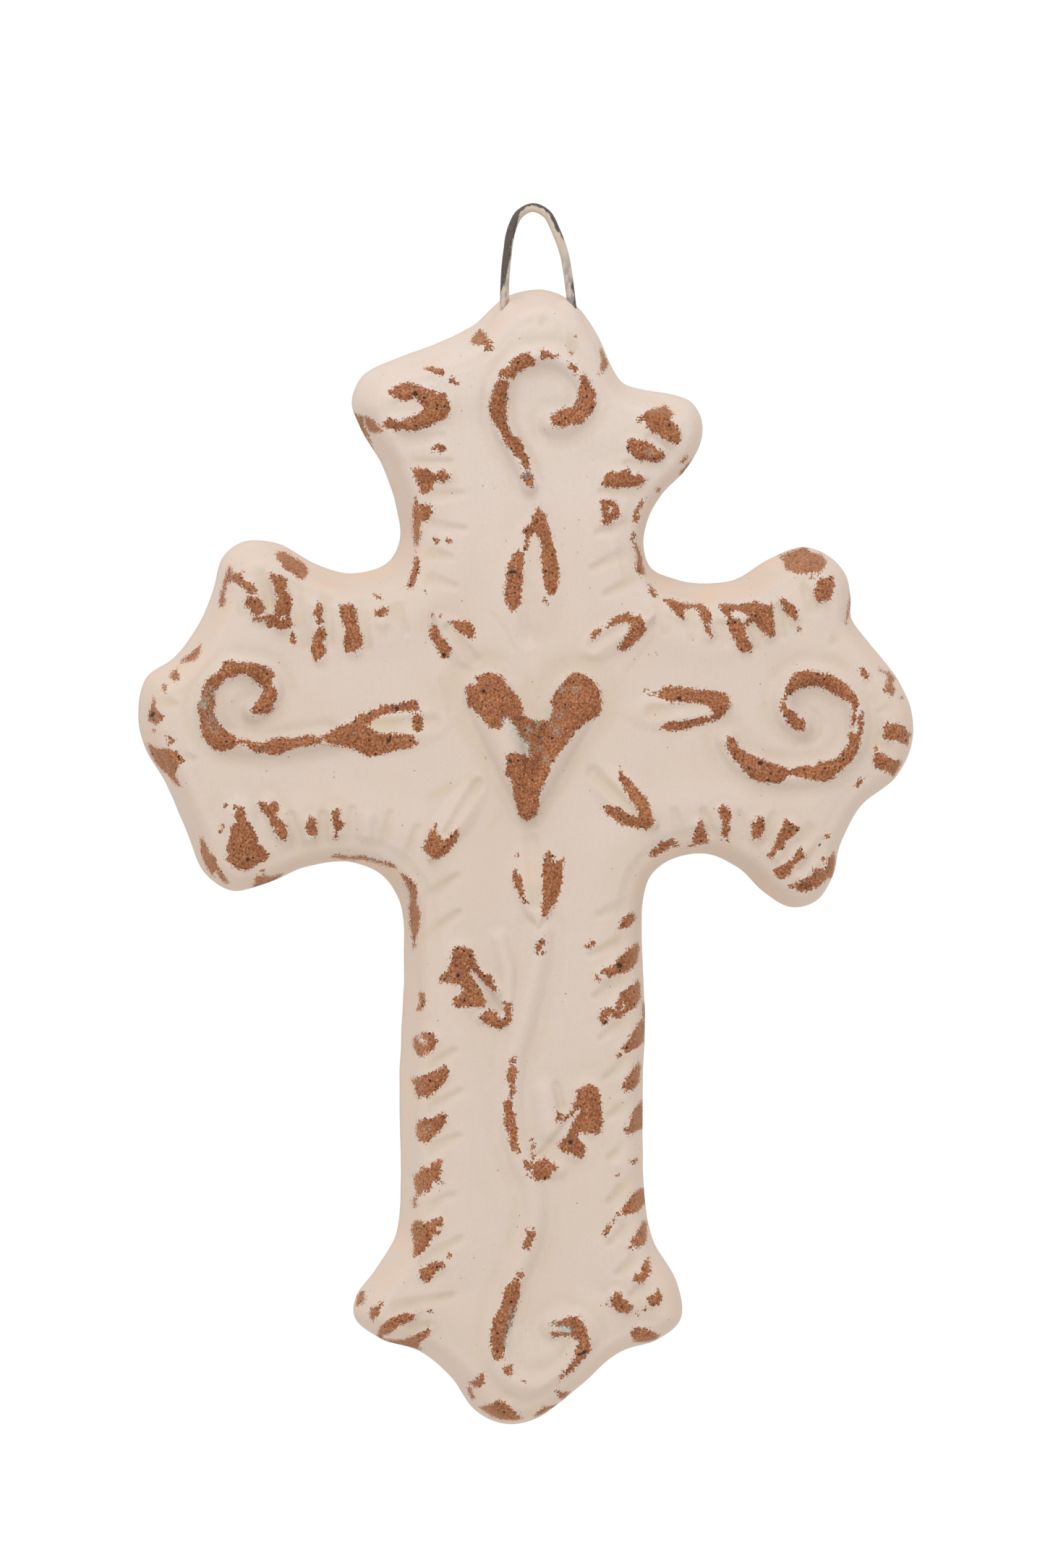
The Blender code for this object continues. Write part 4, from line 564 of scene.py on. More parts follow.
        [(-0.6, 17.4), (-0.3, 16.9), (0, 17.5), (0.2, 16.8), (-0.1, 16.4), (-0.2, 15.9), (-0.5, 15.5),
         (-0.8, 15.7), (-0.9, 16.2), (-0.5, 16.7)],
        [(-1.4, 13.1), (-1.1, 12.7), (-1.2, 11.3), (-1.5, 10.8), (-1.6, 9.9), (-1.9, 9), (-2.3, 8.1),
         (-2.5, 7.2), (-2.7, 6), (-3.4, 5.9), (-3.6, 6.8), (-3.7, 8), (-3.5, 9.3), (-3, 10.2),
         (-2.7, 10.8), (-2.5, 11.8), (-2.2, 12.4), (-1.8, 12.8)],
        [(-2.5, 5.3), (-1.9, 5.4), (-1.9, 4.8), (-2.2, 4.4), (-2.5, 4.9)],
        [(1.6, 9.1), (2.5, 9.4), (3.2, 9.6), (3.8, 9.8), (4.5, 9), (4.8, 8.1), (5.1, 7), (4.7, 6.4),
         (4.1, 5.7), (3.3, 4.9), (2.3, 4.2), (2.8, 4.9), (3.3, 5.4), (3.7, 6.1), (3.8, 6.9), (4.1, 7.6),
         (3.8, 7.7), (3.3, 8.1), (2.6, 8), (1.7, 8), (1.8, 8.6)],
    ],
    "leaves": [
        [(-6.8, 42.1), (-6.2, 42.2), (-5.4, 41.8), (-5, 41), (-4.8, 40.2), (-4.3, 39.8), (-3.6, 39.5),
         (-3.5, 38.9), (-3.2, 38.4), (-3.4, 38.1), (-3.7, 38.5), (-4.4, 39.1), (-4.9, 39.7), (-5.5, 40.2),
         (-6, 40.7), (-5.7, 40.3), (-5.4, 39.5), (-4.9, 38.8), (-4.6, 38.1), (-4.2, 37.5), (-4.3, 36.9),
         (-6.9, 36.9), (-7, 37.4), (-6.8, 37.7), (-6.3, 38), (-6, 38.4), (-6.3, 38.8), (-7.1, 39),
         (-8.2, 39), (-8, 39.5), (-7.8, 39.8), (-7.4, 40.1), (-7.2, 41), (-7.1, 41.6)],
        [(-4.7, 35.9), (-4.1, 36.4), (-3.7, 36.6), (-3.1, 36.2), (-2.7, 35.7), (-2.4, 36), (-2.5, 37),
         (-2.7, 37.3), (-2.2, 37.2), (-1.9, 37.3), (-1.9, 36.2), (-2, 35.5), (-2.5, 35.1), (-3, 34.9),
         (-3.6, 35.2), (-4.3, 35.5)],
        [(5, 30.1), (5.7, 29.6), (5.9, 28.9), (6, 27.6), (6.1, 26.5), (5.9, 25.9), (5.5, 25.7),
         (4.5, 25.9), (3.9, 25.8), (3.9, 25.5), (4.3, 24.9), (4.6, 24.4), (4.4, 23.8), (4.1, 23.6),
         (3.4, 24), (2.7, 24.2), (2.1, 24.6), (2.4, 25), (2.9, 25.4), (3.2, 26.1), (3.5, 26.4), (3.6, 27),
         (4.3, 27.7), (4.1, 28), (3.6, 27.9), (3.5, 28.3), (3.9, 28.7), (3.9, 29.5), (4.4, 29.9)],
        [(1.9, 28), (2.3, 27.5), (2.7, 27.1), (3.3, 27.6), (3.9, 28.1), (3.5, 27.5), (3, 27.1),
         (2.5, 26.8), (2, 26.9), (2.1, 27.4)],
    ],
    "right side of the shaft": [
        [(8.8, 45.1), (9, 44.6), (8.6, 44.1), (8.2, 43.8), (7.5, 43.8), (7.8, 44.4), (8.3, 44.9)],
        [(9.2, 42.4), (9.3, 41.9), (9.1, 40.8), (8.6, 40.2), (7.6, 39.8), (6.6, 39.5), (5.9, 40),
         (6.3, 40.2), (7.1, 40.4), (7.3, 40.9), (7.7, 41.4), (8.3, 41.8), (8.8, 42.2)],
        [(9.2, 39.2), (9.4, 38.8), (9.4, 37.6), (9, 36.9), (8.2, 36.4), (7.4, 35.8), (6.9, 36.1),
         (6.4, 36), (5.8, 36.2), (6, 36.6), (6.8, 36.8), (7.2, 36.6), (7.4, 37.3), (7.7, 38.1),
         (8.3, 38.5), (8.9, 38.8)],
        [(9.7, 35.8), (9.9, 35), (9.7, 33.7), (9.1, 33.3), (8.2, 32.8), (7.8, 33.2), (8.2, 33.6),
         (8.5, 34.2), (8.9, 34.8), (9.3, 35.4)],
        [(9.3, 31.9), (9.4, 31.4), (9.3, 30.2), (8.8, 29.7), (8.2, 29.4), (7.9, 29.9), (8.2, 30.5),
         (8.6, 31.1), (9, 31.6)],
        [(9.6, 28.6), (9.7, 26.1), (9.1, 26), (8.2, 25.7), (8, 26.2), (8.6, 26.6), (8.7, 27.3), (9, 28),
         (9.4, 28.3)],
        [(9.3, 20.8), (9.8, 20.7), (9.9, 19.6), (9.2, 18.9), (8.7, 18.8), (8, 18.6), (7.7, 19),
         (8.2, 19.6), (8.8, 20.4)],
        [(9.8, 18), (10, 17.5), (9.9, 16.3), (9.3, 15.7), (8.8, 16), (8.6, 16.4), (9.1, 17), (9.6, 17.8)],
        [(10.1, 14.9), (10.3, 13.8), (10, 13.2), (9.5, 12.7), (8.8, 12.8), (9, 13.4), (9.5, 13.4),
         (9.6, 14)],
        [(7.7, 11.8), (7.2, 11.8), (6.9, 11.4), (7, 10.6), (7.5, 10.1), (8.4, 10.1), (8.7, 10.6),
         (8.3, 11), (7.9, 11.3)],
        [(10.9, 12.2), (11.3, 11.4), (11.1, 10.8), (10.4, 10.6), (10, 11.1), (10.2, 11.6), (10.7, 11.6)],
        [(8.6, 8.3), (9, 8.7), (9.6, 8.7), (10, 8.6), (10.5, 8.3), (11.1, 8.1), (10.9, 7.6), (10.3, 7.4),
         (9.3, 7.4), (8.8, 7.7)],
    ],
    "left side of the shaft": [
        [(-10, 38.1), (-9.6, 38), (-9.5, 37.3), (-9.7, 36.7), (-10.2, 36.5), (-9.9, 37.2)],
        [(-9.3, 34.7), (-8.7, 34.4), (-8.4, 33.8), (-8.8, 33.1), (-9.3, 32.9), (-9.7, 32.5),
         (-10.2, 32.7), (-10.5, 33.4), (-10.4, 34.1), (-9.9, 34.4)],
        [(-10.6, 30.5), (-10, 30.6), (-9.1, 31), (-8.3, 31.3), (-7.8, 31.7), (-7.4, 31.5), (-7.4, 30.9),
         (-7.9, 30.1), (-8.6, 29.5), (-9.3, 28.9), (-9.6, 29.1), (-10, 28.9), (-10.3, 29.2), (-10.4, 30)],
        [(-10, 26.8), (-9.5, 27), (-8.7, 27), (-8.3, 27.4), (-7.8, 27.5), (-7.5, 27.3), (-7.8, 26.6),
         (-8.2, 26), (-8.8, 25.4), (-9.3, 24.9), (-10, 25.2), (-10.2, 25.6), (-10.2, 26.2)],
        [(-8.3, 23.4), (-7.9, 23.4), (-8.1, 22.9), (-8.1, 22.3), (-8.3, 21.9), (-8, 21.4), (-8.3, 21.5),
         (-8.7, 21.8), (-8.9, 21.3), (-9.3, 20.5), (-9.6, 20.9), (-9.8, 20.4), (-10.2, 20.3),
         (-10.4, 21.5), (-10.4, 22.1), (-10, 22.2), (-9.8, 22.7), (-9.3, 22.8), (-9, 22.7), (-8.8, 23.2)],
        [(-7.9, 18.3), (-7.9, 17.8), (-8.6, 17.5), (-8.7, 16.9), (-9.1, 16.2), (-9.6, 15.5), (-10.1, 15),
         (-10.5, 14.9), (-10.4, 16), (-10.6, 17), (-10.6, 17.7), (-10.1, 18.1), (-9.5, 17.8), (-8.8, 18.2)],
        [(-7.9, 14.5), (-7.8, 14.1), (-8.6, 13.7), (-8.9, 13.1), (-9.2, 12.7), (-9.7, 13), (-10, 13.5),
         (-9.7, 13.9), (-9.1, 14.3), (-8.4, 14.5)],
    ],
    "foot": [
        [(-15, 11.9), (-14.8, 10.9), (-15.6, 10.4), (-15.4, 11.3)],
        [(-13.1, 11.1), (-13.6, 9.9), (-14.1, 9.2), (-14.3, 9.9), (-14.2, 10.4), (-13.6, 10.6)],
        [(-10.2, 9.9), (-10.8, 9.9), (-11.6, 9.9), (-12.2, 9.7), (-12.8, 9.3), (-13.4, 8.7), (-13.6, 8.1),
         (-13.8, 7.7), (-13.3, 7.5), (-13.2, 8), (-12.7, 8.1), (-12.3, 8.5), (-11.6, 9), (-10.7, 9.4)],
        [(-9.1, 8.7), (-9.1, 8.1), (-9.9, 7.5), (-10.1, 6.9), (-9.7, 6.6), (-11.3, 6.8), (-12.3, 7),
         (-13.4, 7.4), (-12.8, 7.5), (-11.7, 7.5), (-10.8, 7.8), (-9.9, 8.2)],
        [(-4.4, 4.6), (-4.3, 3.8), (-4.9, 3.4), (-5.6, 3.8), (-5, 4.1)],
        [(-3, 2.4), (-2.4, 2), (-1.7, 1.4), (-1, 0.7), (-1.8, 0.5), (-2.8, 0.6), (-3.7, 0.9), (-4.7, 1.6),
         (-3.8, 1.9)],
        [(2.1, 1.8), (1, 1.7), (0.4, 1.3), (0.2, 0.8), (1.3, 1.3)],
        [(2, 3.1), (2.6, 3.1), (3.2, 2.9), (2.6, 2.2)],
    ],
}

# Small bare marks, chips and worn edges: half width, path
SMALL_MARKS = [
    (0.27, [(-7.1, 91.8)]), (0.12, [(-6.6, 91.5)]), (0.25, [(-8.4, 86), (-7.9, 85.8)]),
    (0.1, [(-8.75, 85.75)]), (0.12, [(3.4, 94.2)]), (0.1, [(3.8, 95.7)]),
    (0.13, [(-0.5, 77.7), (-0.7, 77)]), (0.12, [(-8.6, 77.9), (-8.4, 77.6)]),
    (0.1, [(-7.5, 77.8), (-7.2, 77.6)]), (0.15, [(8.85, 78.25), (8.65, 77.9)]),
    (0.1, [(13.5, 85.1), (13, 84.6)]), (0.1, [(14.1, 84.9), (13, 83.7)]), (0.17, [(11, 82.25)]),
    (0.17, [(-24.4, 70.8), (-23.3, 71)]), (0.1, [(-25.5, 75)]), (0.2, [(-21.1, 69.4), (-21, 68.9)]),
    (0.13, [(-13.8, 72.9), (-13.4, 72.7)]), (0.13, [(-32.4, 65), (-32.3, 64.6)]), (0.1, [(-33.3, 61.1)]),
    (0.12, [(-18.4, 60.4)]), (0.15, [(-26.9, 54.5)]), (0.12, [(-27.2, 52.75)]), (0.1, [(-27.45, 52.3)]),
    (0.17, [(-17.3, 51.8)]), (0.15, [(-23.7, 48.7)]), (0.1, [(-8.6, 52.8), (-8.7, 52.3)]),
    (0.1, [(-0.9, 46.05), (-0.6, 46.1)]), (0.12, [(-1.35, 50.2)]), (0.13, [(9.9, 64.6)]),
    (0.13, [(10.6, 64.3)]), (0.08, [(10.3, 64.3)]), (0.13, [(15.2, 70.1), (15.7, 69.3)]),
    (0.2, [(19.1, 70.8), (18.7, 70.5)]), (0.1, [(23.3, 69.9)]), (0.1, [(24.4, 74.5)]),
    (0.17, [(28.75, 62.6), (28.7, 61)]), (0.22, [(28.9, 66.4), (29.2, 65.9)]),
    (0.13, [(28.4, 56.3), (28.8, 56.7)]), (0.1, [(30.5, 66.4)]), (0.1, [(32.4, 64)]), (0.1, [(16.7, 51.5)]),
    (0.1, [(17.1, 51.5)]), (0.15, [(25.4, 49.8)]), (0.15, [(25.8, 51.8)]), (0.13, [(0.85, 41.6)]),
    (0.12, [(-0.1, 25.2)]), (0.2, [(0, 24.6)]), (0.17, [(0, 23.8)]), (0.1, [(-0.3, 22.1)]),
    (0.25, [(-1.1, 13.4)]), (0.17, [(4.8, 42.1), (5.3, 42.5)]), (0.1, [(5.6, 39.6), (5.75, 39.2)]),
    (0.25, [(6, 35.9), (6.3, 35.5)]), (0.15, [(7.6, 32.65)]), (0.15, [(8.7, 23.2), (9, 23.4)]),
    (0.1, [(7.4, 22.1)]), (0.15, [(7.5, 18.7)]), (0.1, [(7.1, 18.1)]), (0.15, [(6.7, 17.7), (6.3, 16.9)]),
    (0.15, [(8.5, 15.7)]), (0.1, [(9.8, 10.3)]), (0.1, [(9.2, 9.9)]), (0.1, [(6.5, 10.8)]),
    (0.12, [(9.75, 37), (9.85, 35.7)]), (0.1, [(-10.4, 20), (-10.4, 19.3)]), (0.13, [(-8.3, 17.1)]),
    (0.12, [(-7.3, 15.2), (-7.4, 14.9)]), (0.12, [(-9, 10.2)]), (0.13, [(-5.6, 3.3), (-5.3, 2.5)]),
    (0.1, [(-0.8, 4.05)]), (0.1, [(-8.1, 71.1)]), (0.1, [(-8.8, 71.2)]), (0.1, [(1, 72.5)]),
    (0.1, [(1.2, 72.2)]), (0.4, [(-10.1, 62), (-10.1, 61.4)]),
]

# Paint left inside the bare patches
KEPT_PAINT = [
    (0.15, [(6.8, 80.6), (6.75, 80.3)]), (0.1, [(-10.45, 90.4), (-10.25, 90.2)]),
    (0.2, [(-10, 34.1), (-9.5, 33.7)]), (0.12, [(8, 37.3), (7.9, 36.6)]), (0.15, [(6.8, 36.3)]),
    (0.1, [(1.4, 49.5)]), (0.25, [(-21.9, 70.9)]), (0.1, [(-22.1, 73.9)]), (0.12, [(-27.6, 61.6)]),
    (0.25, [(1.7, 8.7), (3.1, 8.5)]), (0.12, [(1.6, 61.3)]), (0.1, [(1, 60.4)]), (0.1, [(0.2, 61)]),
]

# Traces of an older turquoise paint
TRACES = [
    (0.35, [(-28.3, 64.4)]), (0.45, [(-28.8, 63.5)]), (0.25, [(0.35, 61.7)]), (0.25, [(-0.4, 61.1)]),
    (0.2, [(1.7, 61.7)]), (0.25, [(2.4, 62.5)]), (0.25, [(2.1, 61)]), (0.2, [(0.5, 59.5)]),
    (0.2, [(1.2, 58.6)]), (0.2, [(2.6, 64.7)]), (0.2, [(3.7, 64.7)]),
    (0.4, [(-2.3, 61.8), (-1.2, 60.2), (-0.6, 59.7)]), (0.3, [(1.3, 62.6)]),
    (0.25, [(-1.7, 10.4), (-2.1, 8.5), (-2.3, 7.3)]), (0.35, [(1.8, 8.9), (3.2, 8.4)]),
    (0.3, [(3.6, 89.8)]), (0.2, [(-9.3, 26.2)]), (0.2, [(10.2, 85.4)]),
    (0.25, [(-28.5, 62.4), (-27.9, 61.2)]),
]

# Faint olive streaks and grey smudges on the paint
STREAKS = [
    (0.5, [(-9.3, 46.9), (-7.4, 48.3)]), (0.5, [(-9.5, 43.3), (-7.2, 45.2)]), (0.5, [(6, 42), (8, 43.3)]),
    (0.5, [(6, 38), (8, 39.4)]), (0.8, [(3.7, 95.9)]), (0.4, [(2.1, 96.2)]),
    (0.5, [(-9.3, 76.5), (-8, 76.4)]), (0.5, [(-9.2, 74.3), (-8.2, 74.1)]),
    (0.6, [(-9, 55.2), (-7.5, 56), (-5.6, 57)]), (0.4, [(-8.9, 64.5), (-8.3, 62.8)]),
    (0.5, [(-9, 29), (-7.2, 28.6)]), (0.4, [(7.2, 28.2), (8.4, 28.8)]), (0.4, [(7.4, 21.2), (8.6, 22.2)]),
    (0.7, [(-13.8, 61.5), (-10.9, 61.8)]), (0.4, [(5.8, 57.1), (7.9, 55.6)]),
    (0.4, [(7.6, 73.6), (9.2, 74.6)]), (0.3, [(-3.8, 52.4), (-2.8, 53.9)]), (0.8, [(-32.3, 63.5)]),
]

# Thin, peach-coloured paint on the walls and the crest
PEACH = [
    (1, [(11, 74.8), (13, 73.9), (16, 73.5), (19, 74.2), (21, 75.5)]),
    (0.8, [(-20, 75.6), (-16.5, 74.3), (-12.8, 75)]), (0.7, [(12, 49.4), (15, 50), (18, 48.8), (21, 46.6)]),
    (0.5, [(-17, 49.4), (-14, 49.1), (-11, 47.8)]), (0.3, [(0.8, 99.5), (3.2, 98.9)]),
    (0.7, [(-14.4, 86), (-12.6, 82)]), (0.5, [(-0.2, 50.5), (-0.2, 48)]),
]

# Large dark grains of the clay, bare or seen through the paint
DARK_GRAINS = [
    (0.12, [(-2, 75), (-1.6, 75)]), (0.15, [(-7.8, 67.65)]), (0.18, [(-10.35, 90.65)]),
    (0.15, [(11.95, 87.85)]), (0.12, [(8.3, 85.8)]), (0.15, [(-4.3, 64.5)]), (0.15, [(-2, 58.4)]),
    (0.13, [(-33.5, 62.4), (-33.3, 62.6)]), (0.17, [(-25, 49.8)]), (0.12, [(-25.8, 49.9)]),
    (0.12, [(15.1, 70.3)]), (0.17, [(12.8, 63.9)]), (0.15, [(19.8, 58.25), (20, 58.25)]),
    (0.12, [(20.6, 56.7)]), (0.1, [(21.55, 57.4)]), (0.1, [(22, 62.3)]), (0.17, [(-11.95, 63)]),
    (0.1, [(-12.5, 60.6), (-12.7, 60.1)]), (0.1, [(-14.4, 60.7)]), (0.08, [(-15.6, 60.15)]),
    (0.15, [(-6.6, 39.6)]), (0.13, [(-5.5, 41.3)]), (0.1, [(-6.7, 40.5)]), (0.12, [(6.35, 35.5)]),
    (0.2, [(7.56, 40.5)]), (0.18, [(3.3, 25)]), (0.13, [(8.8, 20.3)]), (0.13, [(-9.4, 27)]),
    (0.1, [(4.2, 6.4), (4.6, 6.7)]), (0.1, [(-3.4, 8.8)]), (0.1, [(25.1, 51.1)]), (0.08, [(-4.1, 58.7)]),
    (0.06, [(-5.4, 60.9)]), (0.07, [(-9.5, 73.3)]), (0.07, [(10.75, 70.5)]), (0.07, [(-4.9, 20)]),
    (0.06, [(-6.4, 28.3)]), (0.06, [(-1.1, 84.1)]), (0.1, [(3.5, 98.3)]),
]

# Grey, mottled stones in the clay
GREY_STONES = [
    (0.3, [(-0.5, 83.4)]), (0.18, [(25.1, 48.55)]), (0.15, [(-7.4, 39.35)]), (0.06, [(-6.5, 6.1)]),
]

# The loop's bend: share of the span from its middle, share of the height from its feet
LOOP_BEND = [
    (-0.5, 0.0), (-0.484, 0.32), (-0.452, 0.54), (-0.399, 0.76), (-0.274, 0.935), (-0.075, 1.0),
    (0.129, 0.935), (0.266, 0.76), (0.382, 0.54), (0.441, 0.32), (0.5, 0.0),
]
LOOP_TOP_SHARE = -0.075

# Marks that fade at their edges: how fast they grow inwards in shares, and their strength at the edge itself
SOFT_MARKS = {
    "trace": (TRACES, 1.5, 0.5),
    "streak": (STREAKS, 1.2, 0.2),
    "peach": (PEACH, 1.2, 0.5),
}
GRAIN_MARKS = {"grain": DARK_GRAINS, "stone": GREY_STONES}

# Depth where no mark is near, in shares and in millimetres, and how far round a mark its depth is worked out
NO_MARK = -3.0
NO_MARK_MM = -5.0
MARK_MARGIN = 2.0


def smooth_path(points, per_span, closed=False):
    """A centripetal Catmull-Rom curve through the points."""
    known = np.array(points, float)
    if not closed:
        known = np.vstack([2 * known[0] - known[1], known, 2 * known[-1] - known[-2]])
    count = len(known)
    spans = range(count) if closed else range(1, count - 2)
    curve = []
    for i in spans:
        p0, p1, p2, p3 = (known[(i + k) % count] for k in (-1, 0, 1, 2))
        t1 = np.linalg.norm(p1 - p0) ** 0.5
        t2 = t1 + np.linalg.norm(p2 - p1) ** 0.5
        t3 = t2 + np.linalg.norm(p3 - p2) ** 0.5
        for t in np.linspace(t1, t2, per_span, endpoint=False):
            a1 = ((t1 - t) * p0 + t * p1) / t1
            a2 = ((t2 - t) * p1 + (t - t1) * p2) / (t2 - t1)
            a3 = ((t3 - t) * p2 + (t - t2) * p3) / (t3 - t2)
            b1 = ((t2 - t) * a1 + t * a2) / t2
            b2 = ((t3 - t) * a2 + (t - t1) * a3) / (t3 - t1)
            curve.append(((t2 - t) * b1 + (t - t1) * b2) / (t2 - t1))
    if not closed:
        curve.append(known[-2])
    return np.array(curve)


def even_steps(points, step, closed=False):
    """The same line with its points evenly spaced, about a step apart."""
    line = np.vstack([points, points[:1]]) if closed else np.asarray(points)
    along = np.concatenate([[0.0], np.cumsum(np.linalg.norm(np.diff(line, axis=0), axis=1))])
    count = max(3, round(along[-1] / step))
    marks = np.linspace(0.0, along[-1], count + 1)
    if closed:
        marks = marks[:-1]
    return np.column_stack([np.interp(marks, along, line[:, k]) for k in range(line.shape[1])])


def noise_at(places, size, seed):
    """Smooth noise from -1 to 1 at places in metres, with lumps about a size across."""
    offset = Vector([seed * stride for stride in NOISE_STRIDE])
    return np.array([noise.noise(Vector(p) / size + offset) for p in places])


def shares_of(places):
    """From x and z in metres to shares of the clay's height."""
    return np.column_stack([places[:, 0] / SHARE, (places[:, 1] - CREST_Z) / SHARE + 100.0])


def metres_of(points):
    """From shares of the clay's height to x and z in metres."""
    shares = np.asarray(points, float)
    return np.column_stack([shares[:, 0] * SHARE, CREST_Z + (shares[:, 1] - 100.0) * SHARE])


def deepened(places):
    """Places in x and z with a zero between them, as noise takes them."""
    return np.column_stack([places[:, 0], np.zeros(len(places)), places[:, 1]])


def stroke(places, path, start_radius, end_radius, margin=0.0):
    """Each place's distance from a stroke as a share of its half width, and how far inside its edge it is."""
    path = np.asarray(path, float)
    if len(path) == 1:
        path = np.vstack([path, path])
    ratio = np.full(len(places), FAR)
    inside = np.full(len(places), -FAR)
    reach = max(start_radius, end_radius) + margin
    near = np.all((places > path.min(axis=0) - reach) & (places < path.max(axis=0) + reach), axis=1)
    spots = places[near]
    best, deepest = ratio[near], inside[near]
    radii = np.linspace(start_radius, end_radius, len(path))
    for a, b, ra, rb in zip(path[:-1], path[1:], radii[:-1], radii[1:]):
        run = b - a
        t = np.clip((spots - a) @ run / max(run @ run, 1e-12), 0.0, 1.0)
        gap = np.linalg.norm(spots - a - t[:, None] * run, axis=1)
        radius = ra + (rb - ra) * t
        best = np.minimum(best, gap / radius)
        deepest = np.maximum(deepest, radius - gap)
    ratio[near], inside[near] = best, deepest
    return ratio, inside


def cut_profile(ratio, cut):
    """The height of a cut of one kind at each share of its half width from its middle."""
    height, rounding = cut
    return height * np.clip(1.0 - ratio ** 2, 0.0, 1.0) ** rounding


def moat_profile(ratio, cut):
    """The depth of the shallow dip beside raised work."""
    middle, spread, share = MOAT
    return cut[0] * share * np.exp(-((ratio - middle) / spread) ** 2)


class Outline:
    """The cross's outline as a dense line, with the way in at each of its points."""

    def __init__(self, step, wobble, lean_shift):
        drawn = smooth_path(metres_of(OUTLINE), OUTLINE_FINENESS, closed=True)
        line = even_steps(drawn, step, closed=True)
        along = np.roll(line, -1, axis=0) - np.roll(line, 1, axis=0)
        along /= np.linalg.norm(along, axis=1)[:, None]
        inward = np.column_stack([along[:, 1], -along[:, 0]])
        waver = 0.5 - 0.5 * noise_at(deepened(line), WAVER_SIZE, 1)
        line = line + inward * (wobble * waver)[:, None]
        self.line = line
        self.inward = inward
        self.lean_shift = np.array(lean_shift)
        self.tree = KDTree(len(line))
        for i, (x, z) in enumerate(line):
            self.tree.insert((x, z, 0.0), i)
        self.tree.balance()

    def distance(self, places):
        """Distance of each place from the outline."""
        return np.array([self.tree.find((x, z, 0.0))[2] for x, z in places])

    def signed(self, places):
        """Distance of each place from the outline, negative outside it."""
        found = [self.tree.find((x, z, 0.0)) for x, z in places]
        near = np.array([f[1] for f in found])
        side = ((places - self.line[near]) * self.inward[near]).sum(axis=1)
        return np.where(side < 0.0, -1.0, 1.0) * np.array([f[2] for f in found])

    def ring(self, inset, every, shift=0.0):
        """Points of the outline moved in by inset, but for those that fold in tight bends, then shifted."""
        moved = (self.line + self.inward * inset)[::every]
        if inset > 0.0:
            moved = moved[self.distance(moved) > inset - RING_SLACK]
        return moved + shift * self.lean_shift


def triangles(edge, places):
    """Triangles over the places inside a closed edge, as indices into the edge and the places together."""
    border = [(i, (i + 1) % len(edge)) for i in range(len(edge))]
    spots = [Vector((x, z)) for x, z in np.vstack([edge, places])]
    verts, _, faces, sources, _, _ = delaunay_2d_cdt(spots, border, [], INSIDE_ONLY, MERGE_GAP)
    origin = [source[0] for source in sources]
    kept = []
    for a, b, c in faces:
        turn = (verts[b] - verts[a]).cross(verts[c] - verts[a])
        corner = (origin[a], origin[b], origin[c])
        kept.append(corner if turn > 0.0 else corner[::-1])
    return kept


def hexagonal_grid(low, high, step):
    """Places on a hexagonal grid over a rectangle."""
    rise = step * math.sqrt(0.75)
    rows = math.ceil((high[1] - low[1]) / rise)
    columns = math.ceil((high[0] - low[0]) / step)
    row, column = np.mgrid[0:rows, 0:columns]
    x = low[0] + (column + 0.5 * (row % 2)) * step
    return np.column_stack([x.ravel(), (low[1] + row * rise).ravel()])


def petal_width(t, half_width):
    """Half width of a petal at each share of its length: an almond, widest a little nearer its base."""
    return half_width * np.sin(math.pi * np.clip(t, 0.0, 1.0) ** PETAL_LEAN) ** PETAL_BLUNTNESS


def petal_nearness(places, base, tip, half_width):
    """Each place's distance from a petal's middle line as a share of its half width, and its way along it."""
    a, b = np.array(base), np.array(tip)
    run = b - a
    length = np.linalg.norm(run)
    t = (places - a) @ run / length ** 2
    across = np.abs((places - a) @ np.array([-run[1], run[0]]) / length)
    return across / np.maximum(petal_width(t, half_width), 1e-6), t


def heart_nearness(places):
    """Each place's distance from the heart's two blended strokes, as a share of their half width."""
    reach = 2 * HEART_LOBE_RADIUS
    near = [stroke(places, (lobe, HEART_TIP), HEART_LOBE_RADIUS, HEART_TIP_RADIUS, margin=reach)[0]
            for lobe in HEART_LOBES]
    return -HEART_BLEND * np.log(sum(np.exp(-ratio / HEART_BLEND) for ratio in near))


def raised_strokes():
    """Each raised stroke of the carving: its path, half widths at both ends, and cut."""
    strokes = [(smooth_path(path, 5), start, end, VINE_CUT if name == "vine" else SCROLL_CUT)
               for name, (path, start, end) in SCROLLS.items()]
    strokes += [(path, width, width, MOTIF_CUT) for path, width in MOTIFS]
    strokes += [(path, width, width, RIB_CUT) for path, width in RIBS]
    strokes += [(path, width, width, LEAF_CUT) for path, width in LEAVES]
    return strokes


def sunk_strokes(outline):
    """Each sunk stroke. A flute is wider at the end that is nearer the rim."""
    strokes = []
    for u1, v1, u2, v2 in FLUTES:
        near, far = outline.distance(metres_of([(u1, v1), (u2, v2)]))
        wide_first = near < far
        start = FLUTE_WIDE_END if wide_first else FLUTE_NARROW_END
        end = FLUTE_NARROW_END if wide_first else FLUTE_WIDE_END
        strokes.append((((u1, v1), (u2, v2)), start, end, FLUTE_CUT))
    strokes += [(line, FLUTE_NARROW_END, FLUTE_NARROW_END, FLUTE_CUT) for line in LEAF_VEINS]
    for _, _, half_width, start, end in PETALS.values():
        strokes.append(((start, end), GOUGE_START * half_width, GOUGE_END * half_width, GOUGE_CUT))
    strokes += [(path, SCORE_HALF_WIDTH, SCORE_HALF_WIDTH, SCORE_CUT) for path in SCORES]
    return strokes


